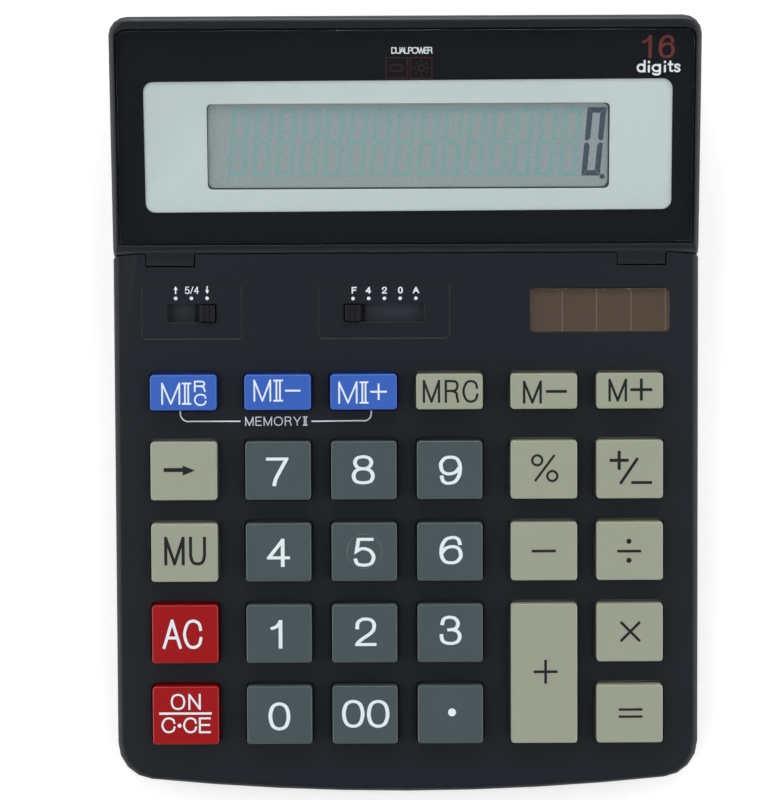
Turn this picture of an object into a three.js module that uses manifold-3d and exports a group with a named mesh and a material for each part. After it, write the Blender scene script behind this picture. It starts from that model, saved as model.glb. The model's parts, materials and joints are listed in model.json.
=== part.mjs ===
// Desktop calculator with a sloped keyboard and a display head that tilts on two hinge pins.
// Millimetres, +Z up, +Y to the rear. The origin is on the desk, under the middle of the outline.
//
// The body is a shallow bottom cover, a top cover with the keyboard, and a rear deck that carries
// the hinge eyes. The keyboard slopes by deckSlope, and its pieces are built in the tilted frame
// of the deck: x across, y up the slope, z square to it, with z = 0 on the cover. The display head
// is built in a frame on the hinge axis: y up the slope of the lens, z square to it.

import * as THREE from 'three';
import { mergeVertices } from 'three/addons/utils/BufferGeometryUtils.js';
import Module from 'manifold-3d';

const wasm = await Module();
wasm.setup();

// Clearances
const gap = 0.3;
const overrun = 1;

// Keys
const keyWidth = 17.9;
const digitKeyWidth = 17.5;
const keyDepth = 15.9;
const memoryKeyDepth = 9.8;
const keyRise = 3.6;
const keyTravel = 1.5;
const keyDraft = 0.12;
const keyBevel = 0.45;
const keyCornerRadius = 1.1;
const keyWall = 1.3;
const keyFlangeReach = 0.9;
const keyFlangeThickness = 0.8;
const keyApertureGap = 0.4;
const plungerWidth = 3.2;
const plungerDrop = 0.8;

// Keyboard layout, along and across the slope
const keyPitch = 22.83;
const rowPitch = 21.85;
const blockGap = 2.25;
const sideMargin = 9.57;
const frontMargin = 13.5;
const memoryRowGap = 8.05;
const ridgeGap = 3.6;
const bandDepth = 28;
const bandStep = 0.35;
const bandEdge = 0.5;
const bandSideMargin = 6;

// Body
const deckSlope = THREE.MathUtils.degToRad(3.8);
const deckFrontHeight = 12.5;
const partingHeight = 6;
const footHeight = 1.6;
const floorThickness = 2;
const sideWall = 2;
const coverWall = 2;
const frontBow = 3.4;
const frontCornerRadius = 10;
const rearCornerRadius = 5;
const shoulderWidth = 1.6;
const shoulderDrop = 1.2;
const bottomChamfer = 1.2;
const rearInset = 1.5;
const rearEdgeRadius = 2;
const coverRibThickness = 1.4;
const coverRibSetback = 5;
const coverHookReach = 3.4;
const coverHookThickness = 1.6;
const troughHeight = 11.7;

// Body screws, their bosses, and the feet
const screwRadius = 1.3;
const screwHeadRadius = 2.6;
const screwHeadHeight = 1.3;
const screwLength = 6.5;
const headScrewLength = 5;
const bossWall = 1.2;
const frontScrewFromSide = 21;
const frontScrewFromFront = 7.4;
const rearScrewFromSide = 8.5;
const rearScrewFromRear = 28;
const footRadius = 4.6;
const footPocketDepth = 0.9;
const footInset = 13.5;
const frontFootFromFront = 17;
const rearFootFromRear = 10;

// Circuit board, rubber key mat and their supports
const domeHeight = 2;
const domeRadius = 3.1;
const domeTopRadius = 2.1;
const matThickness = 0.7;
const boardThickness = 1.2;
const boardFromSide = 6.5;
const boardFrontLap = 1.2;
const boardFromRib = 1.2;
const boardPostRadius = 2.4;
const boardPostSpacing = 46;
const chipWidth = 13;
const chipDepth = 11;
const chipHeight = 1.6;

// Switches
const slotDepth = 4.85;
const slotFromRidge = 12.3;
const slotCornerRadius = 0.3;
const switchPitch = 4.18;
const knobWidth = 4.1;
const knobRise = 0.9;
const knobRibCount = 3;
const knobRibHeight = 0.35;
const knobFootReach = 1.4;
const knobFootThickness = 0.8;
const knobStemWidth = 2;
const switchBodyHeight = 2.2;
const switchBodyDepth = 4.4;
const roundingSlotX = -57.05;
const roundingSteps = 2;
const decimalSlotX = -5.85;
const decimalSteps = 4;
const slotEndRoom = 0.3;
const switchFrameDepth = 13.6;
const switchFrameReach = 6.7;
const switchFrameRecess = 0.25;
const switchFrameCorner = 1;

// Solar cell and its window
const solarX = 51.6;
const solarFromRidge = 12.9;
const solarWidth = 37.6;
const solarDepth = 11.8;
const solarCornerRadius = 1.2;
const solarWindowThickness = 0.9;
const solarLedge = 1.3;
const solarCellThickness = 1;
const solarCellCount = 4;
const solarGroove = 0.35;
const solarGrooveDepth = 0.2;

// Display head and hinge
const headSlope = THREE.MathUtils.degToRad(12.8);
const hingeLead = THREE.MathUtils.degToRad(47);
const rollRadius = 4.2;
const seamGap = 0.35;
const headThickness = 11;
const headWall = 1.8;
const headEdgeRadius = 1.2;
const headParting = -0.5;
const lensDepth = 57;
const lensFrontRim = 0.5;
const lensRearRim = 3.75;
const lensSideRim = 1.7;
const lensCornerRadius = 2.7;
const lensThickness = 1.2;
const lensLedge = 1.2;
const tabX = 62.65;
const tabWidth = 12.6;
const tabReach = 3;
const tabThickness = 1.7;
const pinRadius = 1.25;
const eyeRadius = 2.7;
const eyeWidth = 3;
const postWidth = 3.6;
const rollShell = 1.2;
const rollCutRise = 1.4;
const backCoverLead = 1.5;

// Display window, mask, liquid-crystal panel and ribbon
const windowWidth = 141.2;
const windowDepth = 35;
const windowFromFront = 8.8;
const maskLap = 1.6;
const maskThickness = 0.8;
const lcdX = 0.75;
const lcdWindowWidth = 106.3;
const lcdWindowDepth = 22.85;
const lcdWindowFromFront = 14.85;
const lcdWindowCorner = 1.3;
const lcdLap = 2.6;
const lcdContactLap = 2.4;
const lcdGlassThickness = 1.1;
const lcdRibThickness = 1.6;
const ribbonWidth = 24;
const ribbonThickness = 0.4;
const ribbonSlotLength = 3;
const ribbonSlotFromHinge = 4.2;
const ribbonSlotLead = 1.6;
const ribbonPad = 4;
const ribbonRun = 10;
const ribbonDrop = 1;
const ribbonSteps = 18;

// Battery, its bay, contacts and door
const cellRadius = 5.25;
const cellLength = 44.5;
const cellNubRadius = 1.9;
const cellNubLength = 1;
const contactThickness = 0.5;
const contactWidth = 8;
const contactTailWidth = 2.6;
const contactTailLength = 4.5;
const bayWall = 1.2;
const bayFromRear = 13;
const doorThickness = 1.8;
const doorLip = 0.8;
const doorTongue = 1.2;
const doorMargin = 2.4;
const doorGripCount = 5;
const doorGripPitch = 1.6;
const doorGripDepth = 0.4;

// Facets on round forms
const cornerSteps = 4;
const edgeSteps = 3;
const keyCornerSteps = 2;
const rollSides = 36;
const roundSides = 18;
const smallSides = 10;
const domeSides = 8;

// Layout worked out from the sizes above
const columns = [-2.5, -1.5, -0.5, 0.5, 1.5, 2.5].map(
  (step) => step * keyPitch + (Math.abs(step) > 2 ? Math.sign(step) * blockGap : 0)
    + (step === 1.5 ? blockGap : 0),
);
const rows = [0, 1, 2, 3].map((step) => frontMargin + keyDepth / 2 + step * rowPitch);
const memoryRow = rows[3] + keyDepth / 2 + memoryRowGap + memoryKeyDepth / 2;
const ridge = memoryRow + memoryKeyDepth / 2 + ridgeGap;
const seam = ridge + bandDepth;
const halfWidth = columns.at(-1) + keyWidth / 2 + sideMargin;
const seamToHinge = (rollRadius + seamGap) * Math.cos(hingeLead);
const headDepth = lensFrontRim + lensDepth + lensRearRim;
const bodyLength = seam * Math.cos(deckSlope) + seamToHinge + headDepth * Math.cos(headSlope)
  - rollRadius * Math.sin(headSlope);
const frontY = -bodyLength / 2;
const rearY = bodyLength / 2 - rearInset;
const seamY = frontY + seam * Math.cos(deckSlope);
const hingeY = seamY + seamToHinge;
const bandHeight = (y) => deckFrontHeight + (y - frontY) * Math.tan(deckSlope) + bandStep;
const hingeZ = bandHeight(seamY) - (rollRadius + seamGap) * Math.sin(hingeLead);
const floorTop = footHeight + floorThickness;

// Heights square to the deck, from the cover's surface down to the board
const flangeTop = -coverWall - gap;
const flangeBottom = flangeTop - keyFlangeThickness;
const plungerBottom = flangeBottom - plungerDrop;
const domeTop = plungerBottom - gap;
const matTop = domeTop - domeHeight;
const boardTop = matTop - matThickness - gap;
const boardBottom = boardTop - boardThickness;

// Heights square to the lens, from the hinge axis
const lensBottom = rollRadius - lensThickness;
const lensSeat = lensBottom - gap;
const frameBottom = lensSeat - lensLedge;
const maskBottom = lensSeat - maskThickness;
const lcdTop = maskBottom - gap;
const lcdBottom = lcdTop - 2 * lcdGlassThickness;
const headBottom = rollRadius - headThickness;

const deckMatrix = new THREE.Matrix4()
  .makeTranslation(0, frontY, deckFrontHeight)
  .multiply(new THREE.Matrix4().makeRotationX(deckSlope));
const headMatrix = new THREE.Matrix4()
  .makeTranslation(0, hingeY, hingeZ)
  .multiply(new THREE.Matrix4().makeRotationX(headSlope));

// Materials

function finish(color, roughness, metalness = 0) {
  return new THREE.MeshStandardMaterial({ color, roughness, metalness });
}

const blackPlastic = finish('#26282d', 0.45);
const glossBlack = finish('#202329', 0.15);
const greyKey = finish('#4f595a', 0.5);
const beigeKey = finish('#9fa491', 0.5);
const blueKey = finish('#4769be', 0.5);
const redKey = finish('#97212a', 0.5);
const rubber = finish('#3b3d3f', 0.85);
const boardGreen = finish('#2f5b3a', 0.6);
const steel = finish('#9a9c9e', 0.35, 1);
const clearPlastic = finish('#c9d2d4', 0.1);
const palePlastic = finish('#b4c6c6', 0.5);
const lcdGrey = finish('#8f9e9c', 0.3);
const solarBrown = finish('#54483f', 0.25);
const ribbonAmber = finish('#b98a3c', 0.5);
const cellJacket = finish('#6d7276', 0.4);

// Geometry helpers

function solid(geometry, matrix) {
  const shape = geometry.clone();
  shape.deleteAttribute('normal');
  shape.deleteAttribute('uv');
  if (matrix) {
    shape.applyMatrix4(matrix);
  }
  const merged = mergeVertices(shape, 1e-4);
  return new wasm.Manifold(new wasm.Mesh({
    numProp: 3,
    vertProperties: new Float32Array(merged.attributes.position.array),
    triVerts: new Uint32Array(merged.index.array),
  }));
}

function geometryOf(manifold) {
  const mesh = manifold.getMesh();
  const geometry = new THREE.BufferGeometry();
  geometry.setAttribute('position', new THREE.BufferAttribute(mesh.vertProperties, mesh.numProp));
  geometry.setIndex(new THREE.BufferAttribute(mesh.triVerts, 1));
  geometry.computeVertexNormals();
  return geometry;
}

function joined(pieces) {
  return pieces.reduce((whole, piece) => whole.add(piece));
}

function cut(whole, pieces) {
  return pieces.reduce((rest, piece) => rest.subtract(piece), whole);
}

function box([x0, x1], [y0, y1], [z0, z1]) {
  return new THREE.BoxGeometry(x1 - x0, y1 - y0, z1 - z0)
    .translate((x0 + x1) / 2, (y0 + y1) / 2, (z0 + z1) / 2);
}

function rodX(radius, [x0, x1], y, z, sides = roundSides) {
  return new THREE.CylinderGeometry(radius, radius, x1 - x0, sides)
    .rotateZ(Math.PI / 2)
    .translate((x0 + x1) / 2, y, z);
}

function rodZ(radius, x, y, [z0, z1], sides = roundSides, topRadius = radius) {
  return new THREE.CylinderGeometry(topRadius, radius, z1 - z0, sides)
    .rotateX(Math.PI / 2)
    .translate(x, y, (z0 + z1) / 2);
}

// A flat outline in y and z, drawn out along x
function prismX(points, [x0, x1]) {
  const shape = new THREE.Shape(points.map(([y, z]) => new THREE.Vector2(y, z)));
  const turn = new THREE.Matrix4().makeBasis(
    new THREE.Vector3(0, 1, 0), new THREE.Vector3(0, 0, 1), new THREE.Vector3(1, 0, 0),
  );
  return new THREE.ExtrudeGeometry(shape, { depth: x1 - x0, bevelEnabled: false })
    .applyMatrix4(turn)
    .translate(x0, 0, 0);
}

function prismZ(outline, [z0, z1]) {
  return new THREE.ExtrudeGeometry(new THREE.Shape(outline), { depth: z1 - z0, bevelEnabled: false })
    .translate(0, 0, z0);
}

function arc(x, y, radius, from, to, steps) {
  return Array.from({ length: steps + 1 }, (_, i) => {
    const angle = from + (to - from) * i / steps;
    return new THREE.Vector2(x + radius * Math.cos(angle), y + radius * Math.sin(angle));
  });
}

function roundedRectangle(width, depth, radius, steps = cornerSteps, x = 0, y = 0) {
  const right = width / 2 - radius;
  const back = depth / 2 - radius;
  const quarter = Math.PI / 2;
  return [[right, -back, 3], [right, back, 0], [-right, back, 1], [-right, -back, 2]].flatMap(
    ([cx, cy, turn]) => arc(x + cx, y + cy, radius, turn * quarter, (turn + 1) * quarter, steps),
  );
}

// A skin over rings of equally many points, from the lowest ring to the highest, capped at both ends
function loft(rings) {
  const count = rings[0].length;
  const positions = rings.flatMap((ring) => ring.flatMap((point) => [point.x, point.y, point.z]));
  const index = [];
  for (let level = 0; level + 1 < rings.length; level += 1) {
    for (let i = 0; i < count; i += 1) {
      const a = level * count + i;
      const b = level * count + (i + 1) % count;
      index.push(a, b, b + count, a, b + count, a + count);
    }
  }
  const cap = (ring) => THREE.ShapeUtils.triangulateShape(
    ring.map((point) => new THREE.Vector2(point.x, point.y)), [],
  );
  const last = (rings.length - 1) * count;
  cap(rings[0]).forEach(([a, b, c]) => index.push(a, c, b));
  cap(rings.at(-1)).forEach(([a, b, c]) => index.push(last + a, last + b, last + c));
  const geometry = new THREE.BufferGeometry();
  geometry.setAttribute('position', new THREE.Float32BufferAttribute(positions, 3));
  geometry.setIndex(index);
  return geometry;
}

function ringAt(outline, height) {
  return outline.map((point) => new THREE.Vector3(point.x, point.y, height(point)));
}

function quarterSteps(steps) {
  return Array.from({ length: steps + 1 }, (_, i) => i / steps * Math.PI / 2);
}

function node(name, geometry, material) {
  const mesh = new THREE.Mesh(geometry, material);
  mesh.name = name;
  return mesh;
}

// Body outlines in plan. The front edge is a shallow bow, tangent to its corner arcs.

const frontArcEnd = halfWidth - frontCornerRadius;
const bowRadius = (frontArcEnd ** 2 + frontBow ** 2) / (2 * frontBow);
const bowCentreY = frontY + bowRadius;
const frontCornerY = bowCentreY
  - Math.sqrt((bowRadius - frontCornerRadius) ** 2 - frontArcEnd ** 2);
const bowAngle = Math.atan2(frontArcEnd, bowCentreY - frontCornerY);

function frontOutline(inset) {
  const down = -Math.PI / 2;
  const corner = frontCornerRadius - inset;
  return [
    ...arc(-frontArcEnd, frontCornerY, corner, -Math.PI, down - bowAngle, cornerSteps),
    ...arc(0, bowCentreY, bowRadius - inset, down - bowAngle, down + bowAngle, 2 * cornerSteps)
      .slice(1, -1),
    ...arc(frontArcEnd, frontCornerY, corner, down + bowAngle, 0, cornerSteps),
  ];
}

function squareRear(inset, y) {
  return [new THREE.Vector2(halfWidth - inset, y), new THREE.Vector2(-halfWidth + inset, y)];
}

function roundRear(inset, y, radius) {
  const corner = radius - inset;
  const side = halfWidth - radius;
  return [
    ...arc(side, y - radius, corner, 0, Math.PI / 2, cornerSteps),
    ...arc(-side, y - radius, corner, Math.PI / 2, Math.PI, cornerSteps),
  ];
}

const bodyPlan = (inset) => [...frontOutline(inset), ...roundRear(inset, rearY, rearCornerRadius)];
const coverPlan = (inset) => [...frontOutline(inset), ...squareRear(inset, seamY)];

const frontScrews = [-1, 1].map((side) => [side * (halfWidth - frontScrewFromSide),
  frontY + frontScrewFromFront]);
const rearScrews = [-1, 1].map((side) => [side * (halfWidth - rearScrewFromSide),
  rearY - rearScrewFromRear]);
const feet = [-1, 1].flatMap((side) => [
  [side * (halfWidth - footInset), frontY + frontFootFromFront],
  [side * (halfWidth - footInset), rearY - rearFootFromRear],
]);
const bossRadius = screwRadius + gap + bossWall;
const screwWellRadius = screwHeadRadius + gap;
const screwSeat = floorTop + gap;
const bossSplit = partingHeight + gap;

// Keys: each key's name, column across, row up the slope, outline and colour

const tallKeyDepth = keyDepth + rowPitch;
const [r1, r2, r3, r4] = rows;
const [c1, c2, c3, c4, c5, c6] = columns;
const plusKeyY = (r1 + r2) / 2;
const full = [keyWidth, keyDepth];
const digit = [digitKeyWidth, keyDepth];
const small = [keyWidth, memoryKeyDepth];
const keys = [
  ['key_memory2_recall', c1, memoryRow, small, blueKey],
  ['key_memory2_minus', c2, memoryRow, small, blueKey],
  ['key_memory2_plus', c3, memoryRow, small, blueKey],
  ['key_memory_recall', c4, memoryRow, small, beigeKey],
  ['key_memory_minus', c5, memoryRow, small, beigeKey],
  ['key_memory_plus', c6, memoryRow, small, beigeKey],
  ['key_backspace', c1, r4, full, beigeKey],
  ['key_7', c2, r4, digit, greyKey],
  ['key_8', c3, r4, digit, greyKey],
  ['key_9', c4, r4, digit, greyKey],
  ['key_percent', c5, r4, full, beigeKey],
  ['key_sign', c6, r4, full, beigeKey],
  ['key_markup', c1, r3, full, beigeKey],
  ['key_4', c2, r3, digit, greyKey],
  ['key_5', c3, r3, digit, greyKey],
  ['key_6', c4, r3, digit, greyKey],
  ['key_minus', c5, r3, full, beigeKey],
  ['key_divide', c6, r3, full, beigeKey],
  ['key_all_clear', c1, r2, full, redKey],
  ['key_1', c2, r2, digit, greyKey],
  ['key_2', c3, r2, digit, greyKey],
  ['key_3', c4, r2, digit, greyKey],
  ['key_plus', c5, plusKeyY, [keyWidth, tallKeyDepth], beigeKey],
  ['key_multiply', c6, r2, full, beigeKey],
  ['key_on_clear', c1, r1, full, redKey],
  ['key_0', c2, r1, digit, greyKey],
  ['key_00', c3, r1, digit, greyKey],
  ['key_point', c4, r1, digit, greyKey],
  ['key_equals', c6, r1, full, beigeKey],
].map(([name, x, y, [width, depth], material]) => ({ name, x, y, width, depth, material }));

// A hollow cap with a flange that stops it under the cover and a plunger over its rubber dome
function keyCap(width, depth) {
  const ring = (grow, z) => ringAt(
    roundedRectangle(width + 2 * grow, depth + 2 * grow, keyCornerRadius + grow, keyCornerSteps),
    () => z,
  );
  const cap = solid(loft([
    ring(0, flangeBottom),
    ring(-keyDraft, keyRise - keyBevel),
    ring(-keyDraft - keyBevel, keyRise),
  ]));
  const flangeX = width / 2 + keyFlangeReach;
  const flangeY = depth / 2 + keyFlangeReach;
  const flange = solid(box([-flangeX, flangeX], [-flangeY, flangeY], [flangeBottom, flangeTop]));
  const innerWidth = width - 2 * (keyWall + keyDraft);
  const innerDepth = depth - 2 * (keyWall + keyDraft);
  const hollow = solid(box([-innerWidth / 2, innerWidth / 2], [-innerDepth / 2, innerDepth / 2],
    [flangeBottom - overrun, keyRise - keyWall]));
  const plunger = solid(box([-plungerWidth / 2, plungerWidth / 2],
    [-plungerWidth / 2, plungerWidth / 2], [plungerBottom, keyRise - keyWall / 2]));
  return geometryOf(cap.add(flange).subtract(hollow).add(plunger));
}

function keyNodes() {
  return keys.map(({ name, x, y, width, depth, material }) => {
    const mesh = node(name, keyCap(width, depth), material);
    mesh.position.set(x, y, 0);
    return mesh;
  });
}

// One rubber sheet lies over the board, with a dome under each key
function rubberKeypad() {
  const edgeX = c6 + keyWidth / 2;
  const back = memoryRow + memoryKeyDepth / 2;
  const sheet = solid(prismZ(
    roundedRectangle(2 * edgeX, back - frontMargin, keyCornerRadius, keyCornerSteps,
      0, (back + frontMargin) / 2),
    [matTop - matThickness, matTop],
  ));
  const domes = keys.map(({ x, y }) => solid(
    rodZ(domeRadius, x, y, [matTop - matThickness / 2, domeTop], domeSides, domeTopRadius)));
  return node('rubber_keypad', geometryOf(joined([sheet, ...domes])), rubber);
}

// Switch slots in the cover, from the ends of the knob's travel

const slotY = ridge + slotFromRidge;
const slotLength = (steps) => steps * switchPitch + knobWidth + 2 * slotEndRoom;
const switches = [
  { name: 'rounding_switch_knob', x: roundingSlotX, steps: roundingSteps, rest: 1 },
  { name: 'decimal_switch_knob', x: decimalSlotX, steps: decimalSteps, rest: -1 },
];

// A ribbed slide knob: its foot runs under the cover and its stem drives the switch on the board
function switchKnob({ name, x, steps, rest }) {
  const half = knobWidth / 2;
  const halfDepth = slotDepth / 2 - gap;
  const foot = half + knobFootReach;
  const footDepth = slotDepth / 2 + knobFootReach;
  const top = bandStep + knobRise;
  const stem = knobStemWidth / 2;
  const footTop = -coverWall - gap;
  const ribPitch = knobWidth / knobRibCount;
  const ribs = Array.from({ length: knobRibCount }, (_, i) => {
    const middle = (i - (knobRibCount - 1) / 2) * ribPitch;
    return solid(box([middle - ribPitch / 4, middle + ribPitch / 4], [-halfDepth, halfDepth],
      [top - knobRibHeight / 2, top + knobRibHeight]));
  });
  const knob = joined([
    solid(box([-half, half], [-halfDepth, halfDepth], [footTop - knobFootThickness / 2, top])),
    solid(box([-foot, foot], [-footDepth, footDepth], [footTop - knobFootThickness, footTop])),
    solid(box([-stem, stem], [-stem, stem],
      [boardTop + switchBodyHeight + gap, footTop - knobFootThickness / 2])),
    ...ribs,
  ]);
  const mesh = node(name, geometryOf(knob), blackPlastic);
  mesh.position.set(x + rest * steps * switchPitch / 2, slotY, 0);
  return mesh;
}

// Solar cell under the cover, with its tinted window set flush in the cover

const solarY = ridge + solarFromRidge;

function solarWindow() {
  const plate = prismZ(
    roundedRectangle(solarWidth - 2 * gap, solarDepth - 2 * gap, solarCornerRadius - gap,
      keyCornerSteps, solarX, solarY),
    [bandStep - solarWindowThickness, bandStep],
  );
  return node('solar_window', geometryOf(solid(plate)), clearPlastic);
}

function solarCell() {
  const top = -coverWall - gap;
  const panel = solid(box([solarX - solarWidth / 2, solarX + solarWidth / 2],
    [solarY - solarDepth / 2, solarY + solarDepth / 2], [top - solarCellThickness, top]));
  const pitch = (solarWidth - 2 * solarLedge) / solarCellCount;
  const grooves = Array.from({ length: solarCellCount - 1 }, (_, i) => {
    const x = solarX + (i + 1 - solarCellCount / 2) * pitch;
    return solid(box([x - solarGroove / 2, x + solarGroove / 2],
      [solarY - solarDepth, solarY + solarDepth], [top - solarGrooveDepth, top + overrun]));
  });
  return node('solar_cell', geometryOf(cut(panel, grooves)), solarBrown);
}

// Circuit board under the mat, with the processor and both switch bodies

const boardBack = seam - coverRibSetback - coverRibThickness - boardFromRib;
const boardHalf = halfWidth - boardFromSide;
const boardFront = frontMargin - boardFrontLap;

function mainBoard() {
  const plate = solid(box([-boardHalf, boardHalf], [boardFront, boardBack],
    [boardBottom, boardTop]));
  const within = boardTop - boardThickness / 2;
  const chipX = (decimalSlotX + solarX) / 2;
  const chip = solid(box([chipX - chipWidth / 2, chipX + chipWidth / 2],
    [slotY - chipDepth / 2, slotY + chipDepth / 2], [within, boardTop + chipHeight]));
  const bodies = switches.map(({ x, steps }) => {
    const half = slotLength(steps) / 2;
    return solid(box([x - half, x + half], [slotY - switchBodyDepth / 2,
      slotY + switchBodyDepth / 2], [within, boardTop + switchBodyHeight]));
  });
  return node('main_board', geometryOf(joined([plate, chip, ...bodies])), boardGreen);
}

// Top cover

function keyAperture({ x, y, width, depth }) {
  return solid(prismZ(
    roundedRectangle(width + 2 * keyApertureGap, depth + 2 * keyApertureGap,
      keyCornerRadius + keyApertureGap, keyCornerSteps, x, y),
    [-coverWall - overrun, overrun],
  ), deckMatrix);
}

function switchOpening({ x, steps }) {
  const length = slotLength(steps);
  const slot = prismZ(roundedRectangle(length, slotDepth, slotCornerRadius, keyCornerSteps, x, slotY),
    [-coverWall - overrun, bandStep + overrun]);
  const frame = prismZ(
    roundedRectangle(length + 2 * switchFrameReach, switchFrameDepth, switchFrameCorner,
      keyCornerSteps, x, slotY),
    [bandStep - switchFrameRecess, bandStep + overrun],
  );
  return solid(slot, deckMatrix).add(solid(frame, deckMatrix));
}

function solarOpening() {
  const seat = prismZ(
    roundedRectangle(solarWidth, solarDepth, solarCornerRadius, keyCornerSteps, solarX, solarY),
    [bandStep - solarWindowThickness - gap, bandStep + overrun],
  );
  const through = box(
    [solarX - solarWidth / 2 + solarLedge, solarX + solarWidth / 2 - solarLedge],
    [solarY - solarDepth / 2 + solarLedge, solarY + solarDepth / 2 - solarLedge],
    [-coverWall - overrun, bandStep],
  );
  return solid(seat, deckMatrix).add(solid(through, deckMatrix));
}

// The raised band behind the keys, which holds the switches and the solar cell
function coverBand() {
  const side = halfWidth - bandSideMargin;
  const outline = (inset) => [
    new THREE.Vector2(-side + inset, ridge + inset),
    new THREE.Vector2(side - inset, ridge + inset),
    new THREE.Vector2(side - inset, seam + overrun),
    new THREE.Vector2(-side + inset, seam + overrun),
  ];
  const rings = [[0, -coverWall / 2], [0, 0], [bandEdge, bandStep]];
  return solid(loft(rings.map(([inset, z]) => ringAt(outline(inset), () => z))), deckMatrix);
}

const coverHeight = (point) => bandHeight(point.y) - bandStep;
const ribRearY = seamY - coverRibSetback;
const ribFrontY = ribRearY - coverRibThickness;
const tongueBottom = troughHeight - coverWall;
const tipY = seamY - tabReach;
const tipZ = bandHeight(tipY);
const tipRadius = Math.hypot(tipY - hingeY, tipZ - hingeZ);
const tabs = [-1, 1].map((side) => [side * tabX - tabWidth / 2, side * tabX + tabWidth / 2]);

function topCover() {
  const wallBottom = () => partingHeight + gap / 2;
  const shoulder = quarterSteps(edgeSteps).map((angle) => ringAt(
    coverPlan(shoulderWidth * (1 - Math.cos(angle))),
    (point) => coverHeight(point) - shoulderDrop * (1 - Math.sin(angle)),
  ));
  const outside = solid(loft([ringAt(coverPlan(0), wallBottom), ...shoulder]));
  const inside = solid(loft([
    ringAt(coverPlan(sideWall), () => partingHeight - overrun),
    ringAt(coverPlan(sideWall), (point) => coverHeight(point) - coverWall),
  ]));
  const innerHalf = halfWidth - sideWall;
  const rib = solid(box([-innerHalf - sideWall / 2, innerHalf + sideWall / 2],
    [ribFrontY, ribRearY], [tongueBottom - gap - coverHookThickness,
      coverHeight({ y: ribFrontY }) - coverWall / 2]));
  const hook = solid(box([-innerHalf - sideWall / 2, innerHalf + sideWall / 2],
    [ribFrontY, ribRearY + coverHookReach],
    [tongueBottom - gap - coverHookThickness, tongueBottom - gap]));
  const ribbonPass = solid(box([-ribbonWidth / 2 - overrun, ribbonWidth / 2 + overrun],
    [ribFrontY - overrun, ribRearY + coverHookReach + overrun],
    [partingHeight, tongueBottom - gap]));
  const bosses = frontScrews.map(([x, y]) => solid(rodZ(bossRadius, x, y,
    [bossSplit, coverHeight({ y }) - coverWall / 2], smallSides)));
  const pilots = frontScrews.map(([x, y]) => solid(rodZ(screwRadius + gap, x, y,
    [bossSplit - overrun, screwSeat + screwLength + gap], smallSides)));
  const roll = solid(rodX(rollRadius + seamGap, [-halfWidth - overrun, halfWidth + overrun],
    hingeY, hingeZ, rollSides));
  const notches = tabs.map(([x0, x1]) => solid(rodX(tipRadius + seamGap,
    [x0 - seamGap, x1 + seamGap], hingeY, hingeZ, rollSides)));
  const behindSeam = solid(box([-halfWidth - overrun, halfWidth + overrun],
    [seamY, seamY + rollRadius], [tongueBottom, hingeZ + headThickness]));
  const shell = joined([outside.add(coverBand()).subtract(inside), rib, hook, ...bosses]);
  return node('top_cover', geometryOf(cut(shell, [
    ribbonPass, ...pilots, roll, ...notches, behindSeam, ...keys.map(keyAperture),
    ...switches.map(switchOpening), solarOpening(),
  ])), blackPlastic);
}

// Rear deck: the trough under the hinge roll, the slope that the head lies on, and the hinge eyes

function fromHead(y, z) {
  const point = new THREE.Vector3(0, y, z).applyMatrix4(headMatrix);
  return [point.y, point.z];
}

const deckOffset = headBottom - gap;
const eyes = tabs.flatMap(([x0, x1]) => [[x0 - gap - eyeWidth, x0 - gap],
  [x1 + gap, x1 + gap + eyeWidth]]);
const [slopeY, slopeZ] = fromHead(0, deckOffset);
const troughEnd = slopeY - (slopeZ - troughHeight) / Math.tan(headSlope);
const deckRearHeight = slopeZ + (rearY - slopeY) * Math.tan(headSlope);
const tongueY = ribRearY + gap;

function deckProfile(wall, front) {
  const drop = wall / Math.cos(headSlope);
  const back = rearY - wall;
  const start = troughEnd + wall * Math.tan(headSlope / 2);
  const heightAt = (y) => deckRearHeight - (rearY - y) * Math.tan(headSlope) - drop;
  const foot = partingHeight + (wall ? -overrun : gap / 2);
  const edge = rearEdgeRadius;
  return [
    [front, foot],
    [back, foot],
    [back, heightAt(back - edge) - edge * Math.tan(headSlope)],
    [back - edge / 4, heightAt(back - edge) - edge / 4],
    [back - edge, heightAt(back - edge)],
    [start, troughHeight - wall],
    [front, troughHeight - wall],
  ];
}

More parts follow.
